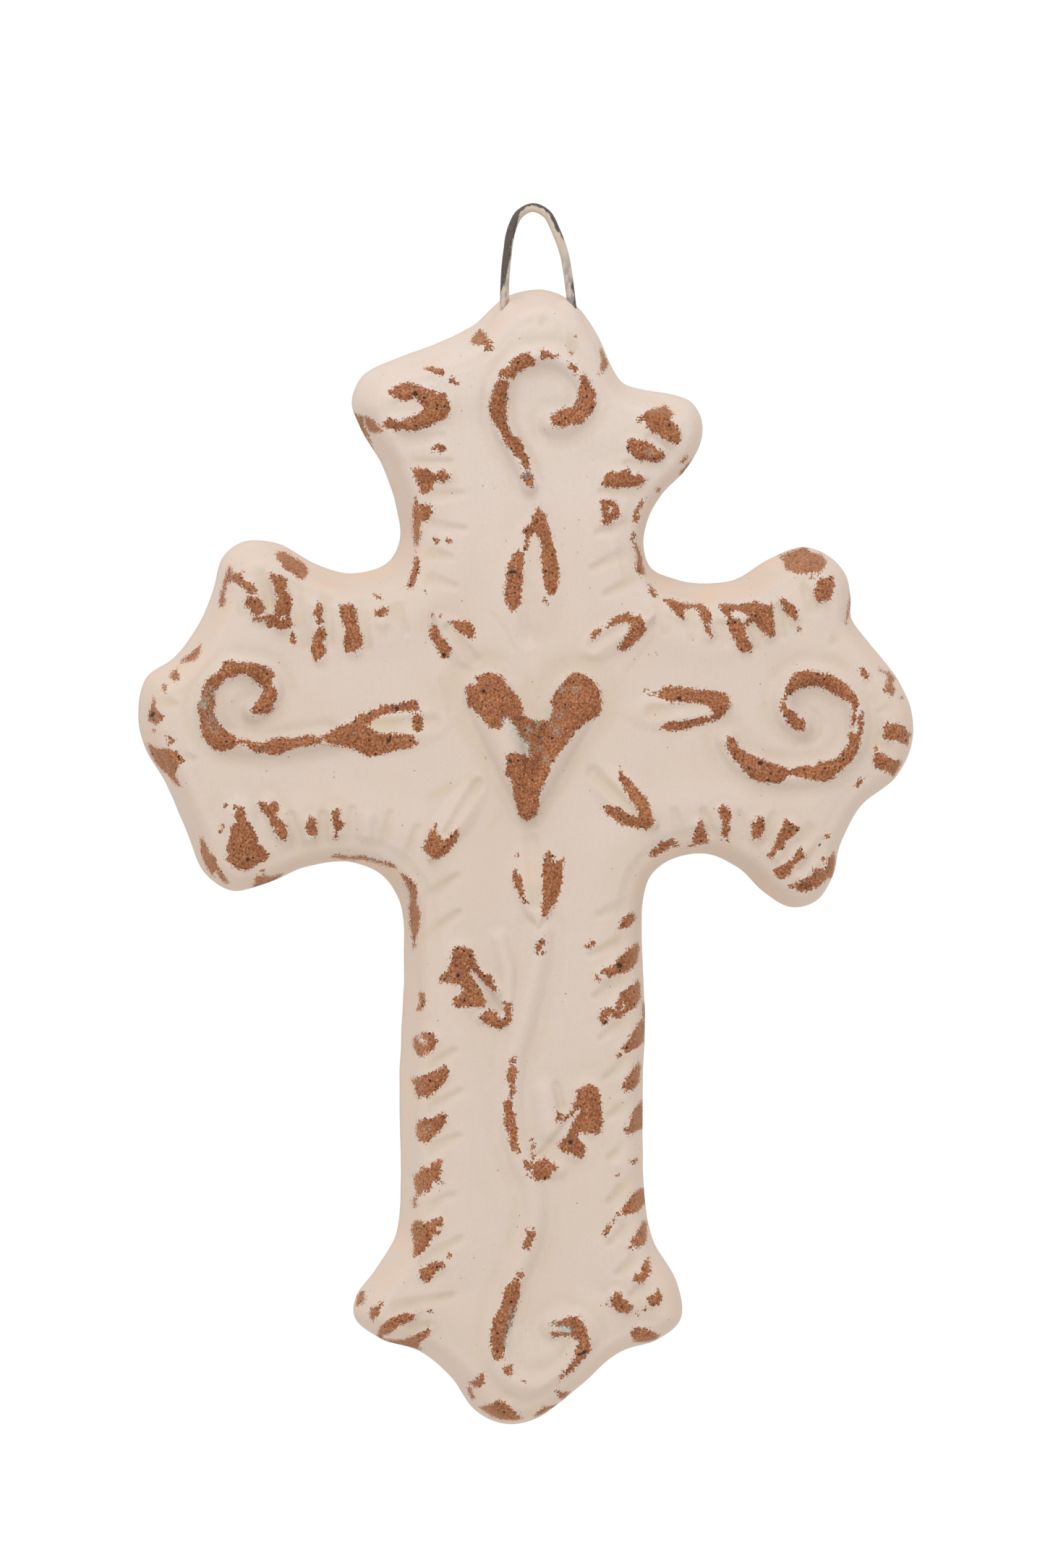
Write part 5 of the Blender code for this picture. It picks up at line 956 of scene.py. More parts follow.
def carved(places, outline):
    """Height of raised work and depth of sunk work, in shares, and how far wash would gather, 0 to 1."""
    raised = np.zeros(len(places))
    moat = np.zeros(len(places))
    nearness = [(stroke(places, path, start, end, margin=2 * max(start, end))[0], cut)
                for path, start, end, cut in raised_strokes()]
    for ratio, cut in nearness + [(heart_nearness(places), HEART_CUT)]:
        raised = np.maximum(raised, cut_profile(ratio, cut))
        moat = np.maximum(moat, moat_profile(ratio, cut))
    for base, tip, half_width, _, _ in PETALS.values():
        ratio, way_out = petal_nearness(places, base, tip, half_width)
        rise = np.clip(way_out / PETAL_RISE_BY, 0.0, 1.0)
        raised = np.maximum(raised, rise * cut_profile(ratio, PETAL_CUT))
    sunk = np.zeros(len(places))
    for path, start, end, cut in sunk_strokes(outline):
        ratio, _ = stroke(places, path, start, end)
        sunk = np.maximum(sunk, cut_profile(ratio, cut))
    hollow = moat * np.clip(1.0 - raised / MOAT_FADE, 0.0, 1.0)
    return raised - hollow, sunk, np.clip(sunk / FLUTE_CUT[0] + hollow / MOAT[2], 0.0, 1.0)


def relief(places, from_rim, outline, clay):
    """How far the face stands out at each place, in shares, and how far wash would gather, 0 to 1."""
    crown = clay.crown * np.exp(-((places - CROWN_MIDDLE) ** 2).sum(axis=1) / CROWN_SPREAD ** 2)
    border = clay.border * np.exp(-((from_rim - BORDER_MIDDLE) / BORDER_SPREAD) ** 2)
    hand = np.zeros(len(places))
    flat = np.column_stack([places, np.zeros(len(places))])
    for seed, (size, rise) in enumerate(HAND_LUMPS):
        hand += rise * noise_at(flat, size, seed)
    fade = np.clip(from_rim / RIM_FADE, 0.0, 1.0)
    raised, sunk, wash = carved(places, outline)
    rim_share = RIM_FLUTE_SHARE + (1.0 - RIM_FLUTE_SHARE) * fade
    return fade * (crown + border + clay.carving * raised) + hand - clay.carving * sunk * rim_share, wash


def depth_of_marks(places, marks):
    """How far inside the nearest mark's edge each place is, in shares; negative outside."""
    depth = np.full(len(places), NO_MARK)
    for width, path in marks:
        _, inside = stroke(places, path, width, width, margin=MARK_MARGIN)
        depth = np.maximum(depth, inside)
    return depth


def depth_of_patch(places, corners):
    """How far inside a patch's edge each place is, in shares; negative outside."""
    corners = np.array(corners, float)
    depth = np.full(len(places), NO_MARK)
    low, high = corners.min(axis=0) - MARK_MARGIN, corners.max(axis=0) + MARK_MARGIN
    near = np.all((places > low) & (places < high), axis=1)
    spots = places[near]
    gap = np.full(len(spots), FAR)
    inside = np.zeros(len(spots), bool)
    for a, b in zip(corners, np.roll(corners, -1, axis=0)):
        run = b - a
        t = np.clip((spots - a) @ run / (run @ run), 0.0, 1.0)
        gap = np.minimum(gap, np.linalg.norm(spots - a - t[:, None] * run, axis=1))
        if run[1] != 0.0:
            crossing = a[0] + (spots[:, 1] - a[1]) * run[0] / run[1]
            inside ^= ((a[1] > spots[:, 1]) != (b[1] > spots[:, 1])) & (spots[:, 0] < crossing)
    depth[near] = np.where(inside, gap, -gap)
    return depth


def wear_facts(places, in_front):
    """What the finish needs to know at each place: bare patches, traces, streaks, grains and stones."""
    shares = shares_of(places[:, [0, 2]])
    to_mm = SHARE / MM
    bare = depth_of_marks(shares, SMALL_MARKS)
    for corners in (patch for group in PATCHES.values() for patch in group):
        bare = np.maximum(bare, depth_of_patch(shares, corners))
    bare = np.minimum(bare, -depth_of_marks(shares, KEPT_PAINT))
    facts = {"bare": np.where(in_front, bare * to_mm, NO_MARK_MM)}
    for name, (marks, growth, at_edge) in SOFT_MARKS.items():
        facts[name] = np.clip(depth_of_marks(shares, marks) * growth + at_edge, 0.0, 1.0) * in_front
    for name, marks in GRAIN_MARKS.items():
        facts[name] = np.where(in_front, depth_of_marks(shares, marks) * to_mm, NO_MARK_MM)
    return facts


def mesh_object(name, places, faces, facts):
    """A smooth mesh object in the scene, with each fact as a number at each of its places."""
    mesh = bpy.data.meshes.new(name)
    mesh.from_pydata(places, [], faces)
    mesh.validate()
    for key, values in facts.items():
        mesh.attributes.new(key, "FLOAT", "POINT").data.foreach_set("value", np.array(values, np.float32))
    mesh.shade_smooth()
    made = bpy.data.objects.new(name, mesh)
    bpy.context.scene.collection.objects.link(made)
    return made


class ClayBody:
    """The clay's mesh in the making: places, triangles, and what the finish needs to know at each place."""

    def __init__(self, clay):
        self.clay = clay
        self.face_y = BACK_Y - clay.thickness
        lean_shift = (clay.face_shift_x, clay.face_shift_z)
        self.outline = Outline(clay.ring_step / RING_EVERY, clay.wobble, lean_shift)
        self.places = []
        self.facts = {name: [] for name in ("wash", "side", "behind")}
        self.faces = []
        self.make_front()
        self.make_back()

    def add(self, spots, y, wash, side, behind):
        """Adds places, given as x and z with their y, and their facts."""
        self.places.append(np.column_stack([spots[:, 0], np.broadcast_to(y, len(spots)), spots[:, 1]]))
        for name, value in (("wash", wash), ("side", side), ("behind", behind)):
            self.facts[name].append(np.broadcast_to(value, len(spots)).astype(float))

    def face_relief(self, spots):
        """How far the face stands out at places in x and z, in metres, and how far wash would gather."""
        clay = self.clay
        shift = self.outline.lean_shift
        from_rim = (self.outline.distance(spots - shift) - clay.wall_lean - clay.rim_radius) / SHARE
        height, wash = relief(shares_of(spots), np.maximum(from_rim, 0.0), self.outline, clay)
        return height * SHARE, wash

    def make_front(self):
        """The wall, the rim and the carved face."""
        clay = self.clay
        edge = self.outline.ring(0.0, RING_EVERY)
        wall_top = self.face_y + clay.rim_radius
        wall_foot = BACK_Y - clay.back_edge_radius
        rings = []
        for t in WALL_RINGS:
            ring = self.outline.ring(t * clay.wall_lean, RING_EVERY, t)
            height, _ = self.face_relief(ring)
            y = wall_foot + t * (wall_top - wall_foot) - RIM_RELIEF * t ** 3 * height
            self.add(ring, y, 0.0, 1.0, -FAR)
            rings.append(ring)
        for t in RIM_RINGS:
            ring = self.outline.ring(clay.wall_lean + t * clay.rim_radius, RING_EVERY, 1.0)
            height, wash = self.face_relief(ring)
            share = RIM_RELIEF + (1.0 - RIM_RELIEF) * (1.0 - (1.0 - t) ** RIM_EASE)
            rise = clay.rim_radius * (1.0 - t) ** 2
            self.add(ring, self.face_y + rise - share * height, wash * t, 1.0 - t, -FAR)
            rings.append(ring)
        grid = hexagonal_grid(edge.min(axis=0), edge.max(axis=0), clay.face_step)
        inset = clay.wall_lean + clay.rim_radius + FACE_GRID_GAP * clay.face_step
        grid = grid[self.outline.signed(grid - self.outline.lean_shift) > inset]
        height, wash = self.face_relief(grid)
        self.add(grid, self.face_y - height, wash, 0.0, -FAR)
        self.edge_count = len(edge)
        self.faces += triangles(rings[0], np.vstack(rings[1:] + [grid]))

    def make_back(self):
        """The back edge and the flat back, which is pressed on a board and only slightly uneven."""
        clay = self.clay
        ahead = sum(len(p) for p in self.places) - self.edge_count
        rings = [self.outline.ring(0.0, RING_EVERY)]
        for t in BACK_RINGS:
            turn = t * math.pi / 2
            ring = self.outline.ring(clay.back_edge_radius * (1.0 - math.cos(turn)), RING_EVERY)
            self.add(ring, BACK_Y - clay.back_edge_radius * (1.0 - math.sin(turn)), 0.0, 1.0 - t, t)
            rings.append(ring)
        grid = hexagonal_grid(rings[0].min(axis=0), rings[0].max(axis=0), clay.back_step)
        inside = self.outline.signed(grid)
        kept = inside > clay.back_edge_radius + BACK_GRID_GAP * clay.back_step
        grid, inside = grid[kept], inside[kept]
        deep = deepened(grid)
        hollow = 0.5 - 0.5 * noise_at(deep, BACK_HOLLOWS[0], 5)
        scrape = 0.5 - 0.5 * noise_at(deep * SCRAPE_STRETCH, BACK_SCRAPES[0], 6)
        depth = clay.back_wear * (BACK_HOLLOWS[1] * hollow + BACK_SCRAPES[1] * scrape)
        self.add(grid, BACK_Y - depth, 0.0, 0.0, inside / MM)
        count = self.edge_count
        for corner in triangles(rings[0], np.vstack(rings[1:] + [grid])):
            self.faces.append(tuple(i if i < count else i + ahead for i in reversed(corner)))

    def object(self, name):
        """The finished object, with the clay drawn up round the wire's legs."""
        places = np.vstack(self.places)
        for share, _ in (LOOP_BEND[0], LOOP_BEND[-1]):
            leg_x = (share - LOOP_TOP_SHARE) * LOOP_SPAN
            near = (places[:, 0] - leg_x) ** 2 + places[:, 1] ** 2
            high = np.clip((places[:, 2] - CREST_Z) / COLLAR_FADE + 1.0, 0.0, 1.0)
            places[:, 2] += COLLAR_RISE * high * np.exp(-near / COLLAR_SPREAD ** 2)
        facts = {name: np.concatenate(parts) for name, parts in self.facts.items()}
        facts.update(wear_facts(places, facts["behind"] < 0.0))
        return mesh_object(name, places, self.faces, facts)


def srgb(red, green, blue):
    """A colour given by its screen values from 0 to 255, as the linear values that shaders use."""
    screen = [value / 255.0 for value in (red, green, blue)]
    return tuple(v / 12.92 if v <= 0.04045 else ((v + 0.055) / 1.055) ** 2.4 for v in screen)


class Value:
    """One socket of a shader node, so that maths on it reads as a Python expression."""

    def __init__(self, shade, socket):
        self.shade = shade
        self.socket = socket

    def maths(self, operation, first, second):
        """A Math node on two numbers or sockets."""
        return self.shade.node("ShaderNodeMath", {"operation": operation}, {0: first, 1: second})

    def __add__(self, other):
        return self.maths("ADD", self, other)

    def __radd__(self, other):
        return self.maths("ADD", other, self)

    def __sub__(self, other):
        return self.maths("SUBTRACT", self, other)

    def __rsub__(self, other):
        return self.maths("SUBTRACT", other, self)

    def __mul__(self, other):
        return self.maths("MULTIPLY", self, other)

    def __rmul__(self, other):
        return self.maths("MULTIPLY", other, self)

    def __or__(self, other):
        """The larger of the two, which joins two masks."""
        return self.maths("MAXIMUM", self, other)

    def __ror__(self, other):
        return self.maths("MAXIMUM", other, self)

    def rise(self, low, high):
        """A mask that rises smoothly from 0 at low to 1 at high."""
        settings = {"interpolation_type": "SMOOTHSTEP"}
        values = {"Value": self, "From Min": low, "From Max": high, "To Min": 0.0, "To Max": 1.0}
        return self.shade.node("ShaderNodeMapRange", settings, values)


class Shade:
    """A material's nodes. Every node is made by one method."""

    def __init__(self, name):
        self.material = bpy.data.materials.new(name)
        self.material.use_nodes = True
        self.tree = self.material.node_tree
        self.tree.nodes.clear()

    def node(self, kind, settings=None, values=None, output=0):
        """A node with its settings made first, then its sockets given values or links. Returns one output, if
        the node has any."""
        made = self.tree.nodes.new(kind)
        for name, value in (settings or {}).items():
            setattr(made, name, value)
        inputs = [socket for socket in made.inputs if socket.enabled]
        for key, value in (values or {}).items():
            socket = inputs[key] if isinstance(key, int) else next(s for s in inputs if s.name == key)
            if isinstance(value, Value):
                self.tree.links.new(value.socket, socket)
            else:
                socket.default_value = value
        outputs = [socket for socket in made.outputs if socket.enabled]
        if not outputs:
            return None
        chosen = outputs[output] if isinstance(output, int) else next(s for s in outputs if s.name == output)
        return Value(self, chosen)

    def millimetres(self, stretch=(1.0, 1.0, 1.0)):
        """The place on the object in millimetres, stretched along its axes."""
        place = self.node("ShaderNodeTexCoord", output="Object")
        scale = tuple(s / MM for s in stretch)
        return self.node("ShaderNodeVectorMath", {"operation": "MULTIPLY"}, {0: place, 1: scale})

    def attribute(self, name):
        """One of the mesh's own facts."""
        return self.node("ShaderNodeAttribute", {"attribute_name": name}, output="Fac")

    def noise(self, place, size, detail=2.0, roughness=0.5):
        """Noise from 0 to 1 with lumps about a size across."""
        values = {"Vector": place, "Scale": 1.0 / size, "Detail": detail, "Roughness": roughness}
        return self.node("ShaderNodeTexNoise", values=values)

    def grains(self, place, spacing, radius, share):
        """Round grains of a radius, on a share of cells a spacing apart."""
        values = {"Vector": place, "Scale": 1.0 / spacing}
        gap = self.node("ShaderNodeTexVoronoi", values=values, output="Distance")
        tint = self.node("ShaderNodeTexVoronoi", values=values, output="Color")
        chance = self.node("ShaderNodeSeparateColor", values={"Color": tint}, output="Red")
        size = radius / spacing
        chosen = chance.rise(1.0 - share - 0.02, 1.0 - share + 0.02)
        return (1.0 - gap.rise(0.75 * size, 1.25 * size)) * chosen

    def mix(self, factor, first, second):
        """The first colour, turned into the second where the factor is 1."""
        a, b = [c if isinstance(c, Value) else (*c, 1.0)[:4] for c in (first, second)]
        return self.node("ShaderNodeMix", {"data_type": "RGBA"}, {"Factor": factor, "A": a, "B": b})

    def finish(self, height, **sockets):
        """The shader and the output. The height is in millimetres, and sockets are named by their words."""
        bump = self.node("ShaderNodeBump", values={"Strength": 1.0, "Distance": MM, "Height": height})
        values = {words.replace("_", " "): value for words, value in sockets.items()}
        values["Normal"] = bump
        shader = self.node("ShaderNodeBsdfPrincipled", values=values)
        self.node("ShaderNodeOutputMaterial", values={"Surface": shader})
        return self.material


def painted_clay(finish):
    """Chalky paint over fired clay, rubbed through on the high spots and left off most of the back."""
    shade = Shade("painted clay")
    place = shade.millimetres()
    coarse = shade.noise(place, 0.9, detail=2.0)
    ragged = shade.noise(place, 0.33, detail=2.0, roughness=0.6)
    bare = shade.attribute("bare")
    wander = (coarse - 0.5) * 0.4 + (ragged - 0.5) * 1.7
    edge = bare + wander * finish.raggedness - finish.paint_creep
    rubbed = edge.rise(-0.01, 0.04)
    crumbly = shade.noise(place, 3.4, detail=1.0).rise(0.5, 0.62)
    crumbs = shade.grains(place, 0.40, 0.14, 0.45) * bare.rise(-0.85, -0.15) * crumbly
    behind = (shade.attribute("behind") + (shade.noise(place, 5.0, detail=4.0) - 0.5) * 9.0).rise(3.2, 3.6)
    worn = rubbed | crumbs | behind

    grain = shade.noise(place, 0.36, detail=3.0, roughness=0.85)
    clay = shade.mix(grain.rise(0.38, 0.62), finish.clay_dark, finish.clay_light)
    clay = shade.mix(shade.grains(place, 0.50, 0.15, 0.25) * 0.8, clay, finish.grog_light)
    clay = shade.mix(shade.noise(place, 3.2, detail=2.0).rise(0.35, 0.75) * 0.4, clay, finish.clay_dark)
    clay = shade.mix(shade.attribute("side") * 0.25, clay, finish.grog_light)
    dark_grains = shade.grains(place, 0.62, 0.15, 0.34)
    clay = shade.mix(dark_grains * 0.8, clay, finish.grog_dark)
    clay = shade.mix(shade.grains(place, 1.0, 0.20, 0.30) * 0.95, clay, finish.grog_black)
    clay = shade.mix(shade.grains(place, 2.9, 0.24, 0.16) * 0.8, clay, finish.grey_stone)
    stone = shade.attribute("stone").rise(-0.12, 0.05) * grain.rise(0.3, 0.6)
    clay = shade.mix(stone, clay, finish.grey_stone)
    dark_spot = (shade.attribute("grain") + (ragged - 0.5) * 0.5).rise(-0.12, 0.0)

    streaks = shade.noise(shade.millimetres((1.6, 1.6, 0.07)), 0.5, detail=3.0, roughness=0.6)
    cloud = shade.noise(place, 11.0, detail=3.0)
    blotch = shade.noise(place, 4.2, detail=3.0)
    chalk = shade.noise(place, 0.45, detail=3.0, roughness=0.7)
    paint = shade.mix(cloud.rise(0.3, 0.7) * 0.6, finish.paint, finish.paint_warm)
    # Painted light: the paint turns lighter and cooler towards the crest, standing in for the stronger light
    # that falls on the top
    crest_light = shade.node("ShaderNodeSeparateXYZ", values={0: place}, output="Z").rise(-62.0, -30.0)
    paint = shade.mix(crest_light * 0.5, paint, finish.paint_lit_crest)
    paint = shade.mix(streaks.rise(0.35, 0.7) * 0.12, paint, finish.paint_dusty)
    paint = shade.mix(chalk.rise(0.35, 0.75) * 0.30, paint, finish.paint_dusty)
    paint = shade.mix(shade.attribute("wash") * blotch.rise(0.35, 0.60) * 0.28, paint, finish.stain)
    paint = shade.mix(shade.attribute("streak") * blotch.rise(0.30, 0.62) * 0.5, paint, finish.stain)
    paint = shade.mix(shade.attribute("side") * blotch.rise(0.30, 0.70) * 0.60, paint, finish.peach)
    grey_specks = shade.grains(place, 0.9, 0.11, 0.20) * chalk.rise(0.5, 0.6)
    paint = shade.mix(grey_specks * 0.35, paint, finish.grey_stone)
    paint = shade.mix(shade.attribute("peach") * blotch.rise(0.30, 0.65) * 0.75, paint, finish.peach)
    paint = shade.mix(shade.grains(place, 1.7, 0.10, 0.36) * 0.7, paint, finish.grog_dark)
    paint = shade.mix(shade.grains(place, 4.6, 0.14, 0.10) * 0.8, paint, finish.clay_light)

    colour = shade.mix(worn, paint, clay)
    colour = shade.mix(dark_spot * 0.9, colour, finish.grog_black)
    trace = shade.attribute("trace") * chalk.rise(0.46, 0.60)
    colour = shade.mix(trace * 0.75, colour, finish.turquoise)

    film = (1.0 - worn) * finish.paint_thickness
    brushed = (1.0 - worn) * (streaks * 0.008 + chalk * 0.03)
    pitted = worn * (grain * 0.14 - dark_grains * 0.05)
    return shade.finish(film + brushed + pitted, Base_Color=colour, Roughness=worn * 0.07 + 0.88,
                        Specular_IOR_Level=0.25)


def painted_steel(finish):
    """Dull steel wire, brushed over with the same paint on its inner side, with stains near its feet."""
    shade = Shade("steel wire")
    place = shade.millimetres()
    fine = shade.noise(place, 0.16, detail=3.0, roughness=0.7)
    broad = shade.noise(shade.millimetres((1.0, 1.0, 0.45)), 0.7, detail=3.0)
    long = shade.noise(shade.millimetres((1.0, 1.0, 0.3)), 2.4, detail=2.0)
    bare = (shade.attribute("steel") + (broad - 0.5) * 0.7 + (fine - 0.5) * 0.6).rise(-0.03, 0.05)
    steel = shade.mix(fine.rise(0.4, 0.62) * 0.8, finish.steel_dark, finish.steel)
    paint = shade.mix(long.rise(0.42, 0.58), finish.wire_paint, finish.wire_paint_yellow)
    paint = shade.mix(fine.rise(0.52, 0.66) * 0.25, paint, finish.grog_light)
    foot = shade.attribute("foot")
    paint = shade.mix(foot * 0.8, paint, finish.wire_paint)
    paint = shade.mix(foot * broad.rise(0.46, 0.58) * 0.75, paint, finish.wire_blue_grey)
    colour = shade.mix(bare, paint, steel)
    colour = shade.mix(shade.attribute("rust") * fine.rise(0.35, 0.55), colour, finish.rust)
    height = (1.0 - bare) * 0.05 + fine * 0.03
    return shade.finish(height, Base_Color=colour, Roughness=0.8 - bare * 0.2, Metallic=bare * 0.25)


def wire_path(step):
    """The wire's centre line from the bottom of one leg over the arch to the other's, in x and z."""
    foot_z = CREST_Z + WIRE_FOOT_RISE
    bend = [((s - LOOP_TOP_SHARE) * LOOP_SPAN, foot_z + h * (WIRE_RADIUS - foot_z)) for s, h in LOOP_BEND]
    line = smooth_path(bend, BEND_FINENESS)
    ends = []
    for foot, above in ((line[0], line[1]), (line[-1], line[-2])):
        down = (foot - above) / np.linalg.norm(foot - above)
        ends.append(foot + down * (foot[1] - WIRE_LOW.z) * LEG_DEPTH_SHARE)
    return even_steps(np.vstack([ends[:1], line, ends[1:]]), step)


def amount_at(along, amounts):
    """An amount at a share of the wire's way, from a list of shares with their amounts."""
    return np.interp(along, [a for a, _ in amounts], [amount for _, amount in amounts])


def wire_object(name, wire):
    """The wire as a closed tube, with facts for its finish."""
    path = wire_path(wire.step)
    along = np.gradient(path, axis=0)
    along /= np.linalg.norm(along, axis=1)[:, None]
    out = np.column_stack([-along[:, 1], along[:, 0]])
    showing = path[:, 1] > CREST_Z + WIRE_FOOT_RISE - FOOT_MARGIN
    first, last = np.flatnonzero(showing)[[0, -1]]
    way = np.clip((np.arange(len(path)) - first) / (last - first), 0.0, 1.0)
    verts, facts = [], {"steel": [], "foot": [], "rust": []}
    turns = np.linspace(0.0, math.tau, wire.sides, endpoint=False)
    swell = noise_at(deepened(path), SWELL_SIZE, 3)
    for i, (x, z) in enumerate(path):
        steel, stain, rust = (amount_at(way[i], amounts) for amounts in (STEEL_SHOWS, FOOT_STAIN, FOOT_RUST))
        for turn in turns:
            lump = 1.0 + wire.unevenness * swell[i] + 0.3 * wire.unevenness * math.sin(3 * turn + 9 * way[i])
            reach = WIRE_RADIUS * min(lump, 1.0 + wire.unevenness)
            verts.append((x + out[i, 0] * math.cos(turn) * reach, -math.sin(turn) * reach,
                          z + out[i, 1] * math.cos(turn) * reach))
            facts["steel"].append(steel - (1.0 - math.cos(turn)) / 2)
            facts["foot"].append(stain)
            facts["rust"].append(rust * (math.cos(turn) < RUST_TURN))
    count = wire.sides
    faces = []
    for i in range(len(path) - 1):
        for j in range(count):
            a, b = i * count + j, i * count + (j + 1) % count
            faces.append((a, b, b + count, a + count))
    faces.append(tuple(range(count))[::-1])
    faces.append(tuple(range(len(verts) - count, len(verts))))
    return mesh_object(name, verts, faces, facts)


def floor_object(name, stage):
    """A wide round floor under the hanging cross, low enough to stay out of the front view."""
    turns = np.linspace(0.0, math.tau, FLOOR_SIDES, endpoint=False)
    verts = []
    for ring in range(1, FLOOR_RINGS + 1):
        reach = stage.floor_radius * ring / FLOOR_RINGS
        verts += [(reach * math.cos(turn), reach * math.sin(turn), stage.floor_height) for turn in turns]
    faces = [tuple(range(FLOOR_SIDES))]
    for ring in range(FLOOR_RINGS - 1):
        for j in range(FLOOR_SIDES):
            a, b = ring * FLOOR_SIDES + j, ring * FLOOR_SIDES + (j + 1) % FLOOR_SIDES
            faces.append((a, a + FLOOR_SIDES, b + FLOOR_SIDES, b))
    return mesh_object(name, verts, faces, {})


def pale_floor(colour):
    """Matt pale card, very slightly mottled."""
    shade = Shade("pale floor")
    mottle = shade.noise(shade.millimetres(), 90.0, detail=3.0)
    tone = shade.mix(mottle.rise(0.3, 0.7) * 0.12, colour, tuple(0.9 * c for c in colour))
    return shade.finish(mottle * 0.05, Base_Color=tone, Roughness=0.9)


def aim(thing, target):
    """Turns a light or camera to look at a place."""
    thing.rotation_euler = (Vector(target) - thing.location).to_track_quat("-Z", "Y").to_euler()


def length(name, description, default, low=0.0):
    """A setting in metres."""
    return bpy.props.FloatProperty(name=name, description=description, default=default, min=low,
                                   unit="LENGTH", precision=5)


def number(name, description, default):
    """A setting that is a plain share or factor."""
    return bpy.props.FloatProperty(name=name, description=description, default=default, precision=3)


def colour(name, description, red, green, blue):
    """A colour setting, given by its screen values."""
    return bpy.props.FloatVectorProperty(name=name, description=description, subtype="COLOR", size=3, min=0.0,
                                         max=1.0, default=srgb(red, green, blue))


class ClayCrossClay(bpy.types.PropertyGroup):
    """Sizes of the clay body and its carving."""
    thickness: length("Thickness", "Clay at the rim, back to front", 0.0100)
    wall_lean: length("Wall lean", "How far the wall leans in from back to rim", 0.0019)
    face_shift_x: length("Face shift sideways", "The rim's shift to the right of the back", 0.0008)
    face_shift_z: length("Face shift upwards", "The rim's shift upwards of the back", -0.0008, -0.01)
    rim_radius: length("Rim radius", "Rounding between wall and face", 0.0016)
    back_edge_radius: length("Back edge radius", "Rounding between wall and back", 0.0009)
    wobble: length("Edge unevenness", "How far the edge wanders in from its line", 0.00012)
    back_wear: length("Back unevenness", "Depth of the hollows and scrapes on the back", 0.00016)
    carving: number("Carving", "Height of the carving against its full height", 1.0)
    crown: number("Crown", "Rise of the middle, in hundredths of the clay's height", 0.75)
    border: number("Border", "Rise of the border, in hundredths of the clay's height", 0.36)
    face_step: length("Face mesh step", "Gap between mesh places on the face", 0.00036, 0.0003)
    ring_step: length("Ring mesh step", "Gap between mesh places along the edge", 0.00045, 0.0003)
    back_step: length("Back mesh step", "Gap between mesh places on the back", 0.0015, 0.0008)


class ClayCrossFinish(bpy.types.PropertyGroup):
    """Colours and wear of the paint, the clay and the steel."""
    paint: colour("Paint", "Chalky paint", 205, 189, 177)
    # Painted light: a lighter, cooler paint tone mixed in towards the crest, in place of the light that falls
    # more strongly there
    paint_lit_crest: colour("Lit crest paint", "Paint near the crest", 210, 198, 190)
    paint_warm: colour("Warm paint", "Paint where it is warmer", 201, 183, 167)
    paint_dusty: colour("Dusty paint", "Brush streaks in the paint", 193, 178, 165)
    peach: colour("Peach paint", "Thin paint on the walls", 210, 185, 165)
    stain: colour("Stain", "Yellowish stain in the flutes", 190, 173, 143)
    grey_stone: colour("Grey stone", "Grey stones in the clay", 122, 122, 118)
    turquoise: colour("Turquoise", "Traces of an older paint", 155, 185, 173)
    clay_light: colour("Light clay", "Fired clay's light grain", 182, 122, 85)
    clay_dark: colour("Dark clay", "Fired clay's dark grain", 116, 67, 41)
    grog_light: colour("Light grog", "Pale grains in the clay", 188, 144, 113)
    grog_dark: colour("Dark grog", "Brown grains in the clay", 78, 50, 40)
    grog_black: colour("Black grog", "Black grains in the clay", 44, 36, 34)
    steel: colour("Steel", "Dull steel", 105, 94, 86)
    steel_dark: colour("Dark steel", "Darkest steel", 66, 58, 53)
    wire_paint: colour("Wire paint", "Paint on the wire", 185, 169, 155)
    wire_paint_yellow: colour("Yellowed wire paint", "Yellower paint on the wire", 193, 179, 160)
    wire_blue_grey: colour("Wire foot stain", "Blue-grey stain near the wire's feet", 106, 108, 114)
    rust: colour("Rust", "Rust at the wire's foot", 176, 116, 70)
    raggedness: number("Raggedness", "How far the edges of the bare patches wander, in millimetres", 1.0)
    paint_creep: number("Paint creep", "How far paint runs in over the bare patches, in millimetres", -0.10)
    paint_thickness: number("Paint thickness", "Thickness of the paint film, in millimetres", 0.05)


class ClayCrossWire(bpy.types.PropertyGroup):
    """Fineness and unevenness of the wire."""
    step: length("Step", "Gap between mesh rings along the wire", 0.00022, 0.0001)
    sides: bpy.props.IntProperty(name="Sides", description="Mesh places round the wire", default=24, min=8)
    unevenness: number("Unevenness", "How far the wire's radius varies, as a share of it", 0.035)


class ClayCrossStage(bpy.types.PropertyGroup):
    """Floor, lights and camera."""
    floor_radius: length("Floor radius", "Radius of the round floor", 1.0)
    floor_height: length("Floor height", "Height of the floor", -0.35, -2.0)
    floor_colour: colour("Floor colour", "Pale card", 238, 236, 232)
    camera_distance: length("Camera distance", "From the camera to the cross", 2.0)
    world_light: number("World light", "Strength of the even white light all round", 1.0)
    key_power: bpy.props.FloatProperty(name="Key light", description="Power of the soft light",
                                       default=2.3, unit="POWER")
    key_size: length("Key light size", "Width of the soft light", 0.7)
    key_place: bpy.props.FloatVectorProperty(name="Key light place", description="Upper left, in front",
                                             subtype="TRANSLATION", unit="LENGTH",
                                             default=(-0.12, -0.50, 0.52))


class CLAYCROSS_OT_clay(bpy.types.Operator):
    """Build the clay cross with its carving and worn paint"""
    bl_idname = "claycross.clay"
    bl_label = "Clay"

    def execute(self, context):
        scene = context.scene
        clay = ClayBody(scene.claycross_clay).object("carved_clay")
        clay.data.materials.append(painted_clay(scene.claycross_finish))
        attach(clay, "root")
        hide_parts("clay_cross")
        return {"FINISHED"}


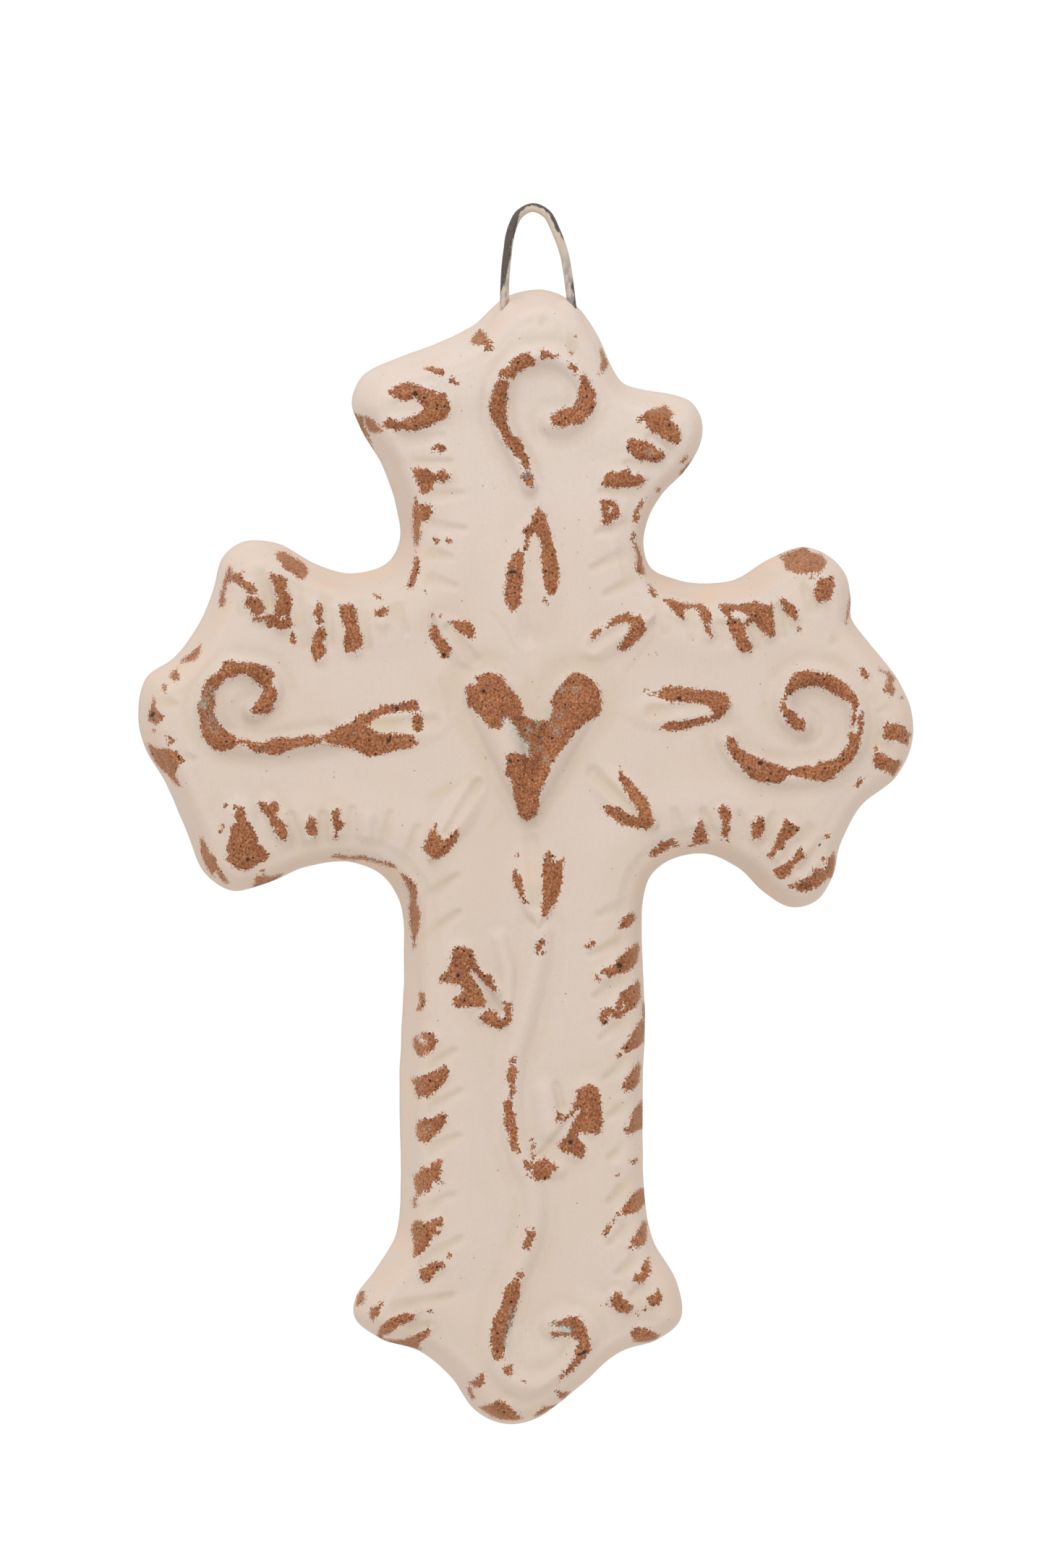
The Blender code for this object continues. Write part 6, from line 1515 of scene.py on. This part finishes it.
class CLAYCROSS_OT_wire(bpy.types.Operator):
    """Build the steel wire loop"""
    bl_idname = "claycross.wire"
    bl_label = "Wire loop"

    def execute(self, context):
        scene = context.scene
        loop = wire_object("bent_wire", scene.claycross_wire)
        loop.data.materials.append(painted_steel(scene.claycross_finish))
        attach(loop, "root")
        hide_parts("wire_loop")
        return {"FINISHED"}


class CLAYCROSS_OT_stage(bpy.types.Operator):
    """Set up the floor, the soft light and the camera"""
    bl_idname = "claycross.stage"
    bl_label = "Stage"

    def execute(self, context):
        scene = context.scene
        stage = scene.claycross_stage
        floor = floor_object("studio_floor", stage)
        floor.data.materials.append(pale_floor(tuple(stage.floor_colour)))

        world = bpy.data.worlds.new("soft white")
        world.use_nodes = True
        world.node_tree.nodes["Background"].inputs["Color"].default_value = (1.0, 1.0, 1.0, 1.0)
        world.node_tree.nodes["Background"].inputs["Strength"].default_value = stage.world_light
        scene.world = world
        scene.view_settings.view_transform = "Standard"

        middle_x = (PHOTO_SIZE[0] / 2 - PHOTO_ORIGIN[0]) * METRES_PER_PIXEL
        middle_z = (PHOTO_ORIGIN[1] - PHOTO_SIZE[1] / 2) * METRES_PER_PIXEL
        middle = (middle_x, 0.0, middle_z)
        key = bpy.data.objects.new("key_light", bpy.data.lights.new("key_light", "AREA"))
        key.data.shape = "DISK"
        key.data.size = stage.key_size
        key.data.energy = stage.key_power
        key.location = stage.key_place
        aim(key, middle)
        scene.collection.objects.link(key)

        camera = bpy.data.objects.new("camera", bpy.data.cameras.new("camera"))
        seen_height = PHOTO_SIZE[1] * METRES_PER_PIXEL
        camera.data.lens = camera.data.sensor_width * stage.camera_distance / seen_height
        camera.location = (middle_x, -stage.camera_distance, middle_z)
        aim(camera, middle)
        scene.collection.objects.link(camera)
        scene.camera = camera
        return {"FINISHED"}


class CLAYCROSS_PT_panel(bpy.types.Panel):
    """The clay cross's pieces and settings"""
    bl_idname = "CLAYCROSS_PT_panel"
    bl_label = "Clay Cross"
    bl_space_type = "VIEW_3D"
    bl_region_type = "UI"
    bl_category = "Clay Cross"

    def draw(self, context):
        layout = self.layout
        for group, kind, operator in GROUPS:
            box = layout.box()
            if operator:
                box.operator(operator)
            settings = getattr(context.scene, group)
            for name in kind.__annotations__:
                box.prop(settings, name)


# Each group of settings on the scene, with the operator that it belongs to
GROUPS = (
    ("claycross_clay", ClayCrossClay, "claycross.clay"),
    ("claycross_finish", ClayCrossFinish, None),
    ("claycross_wire", ClayCrossWire, "claycross.wire"),
    ("claycross_stage", ClayCrossStage, "claycross.stage"),
)
CLASSES = (CLAYCROSS_OT_clay, CLAYCROSS_OT_wire, CLAYCROSS_OT_stage, CLAYCROSS_PT_panel)


def register():
    """Makes the settings, operators and panel known to Blender."""
    for group, kind, _ in GROUPS:
        bpy.utils.register_class(kind)
        setattr(bpy.types.Scene, group, bpy.props.PointerProperty(type=kind))
    for kind in CLASSES:
        bpy.utils.register_class(kind)


def unregister():
    """Takes them out again."""
    for kind in reversed(CLASSES):
        bpy.utils.unregister_class(kind)
    for group, kind, _ in reversed(GROUPS):
        delattr(bpy.types.Scene, group)
        bpy.utils.unregister_class(kind)


def main():
    """Builds everything."""
    register()
    bpy.ops.claycross.clay()
    bpy.ops.claycross.wire()
    bpy.ops.claycross.stage()


if __name__ == "__main__":
    main()
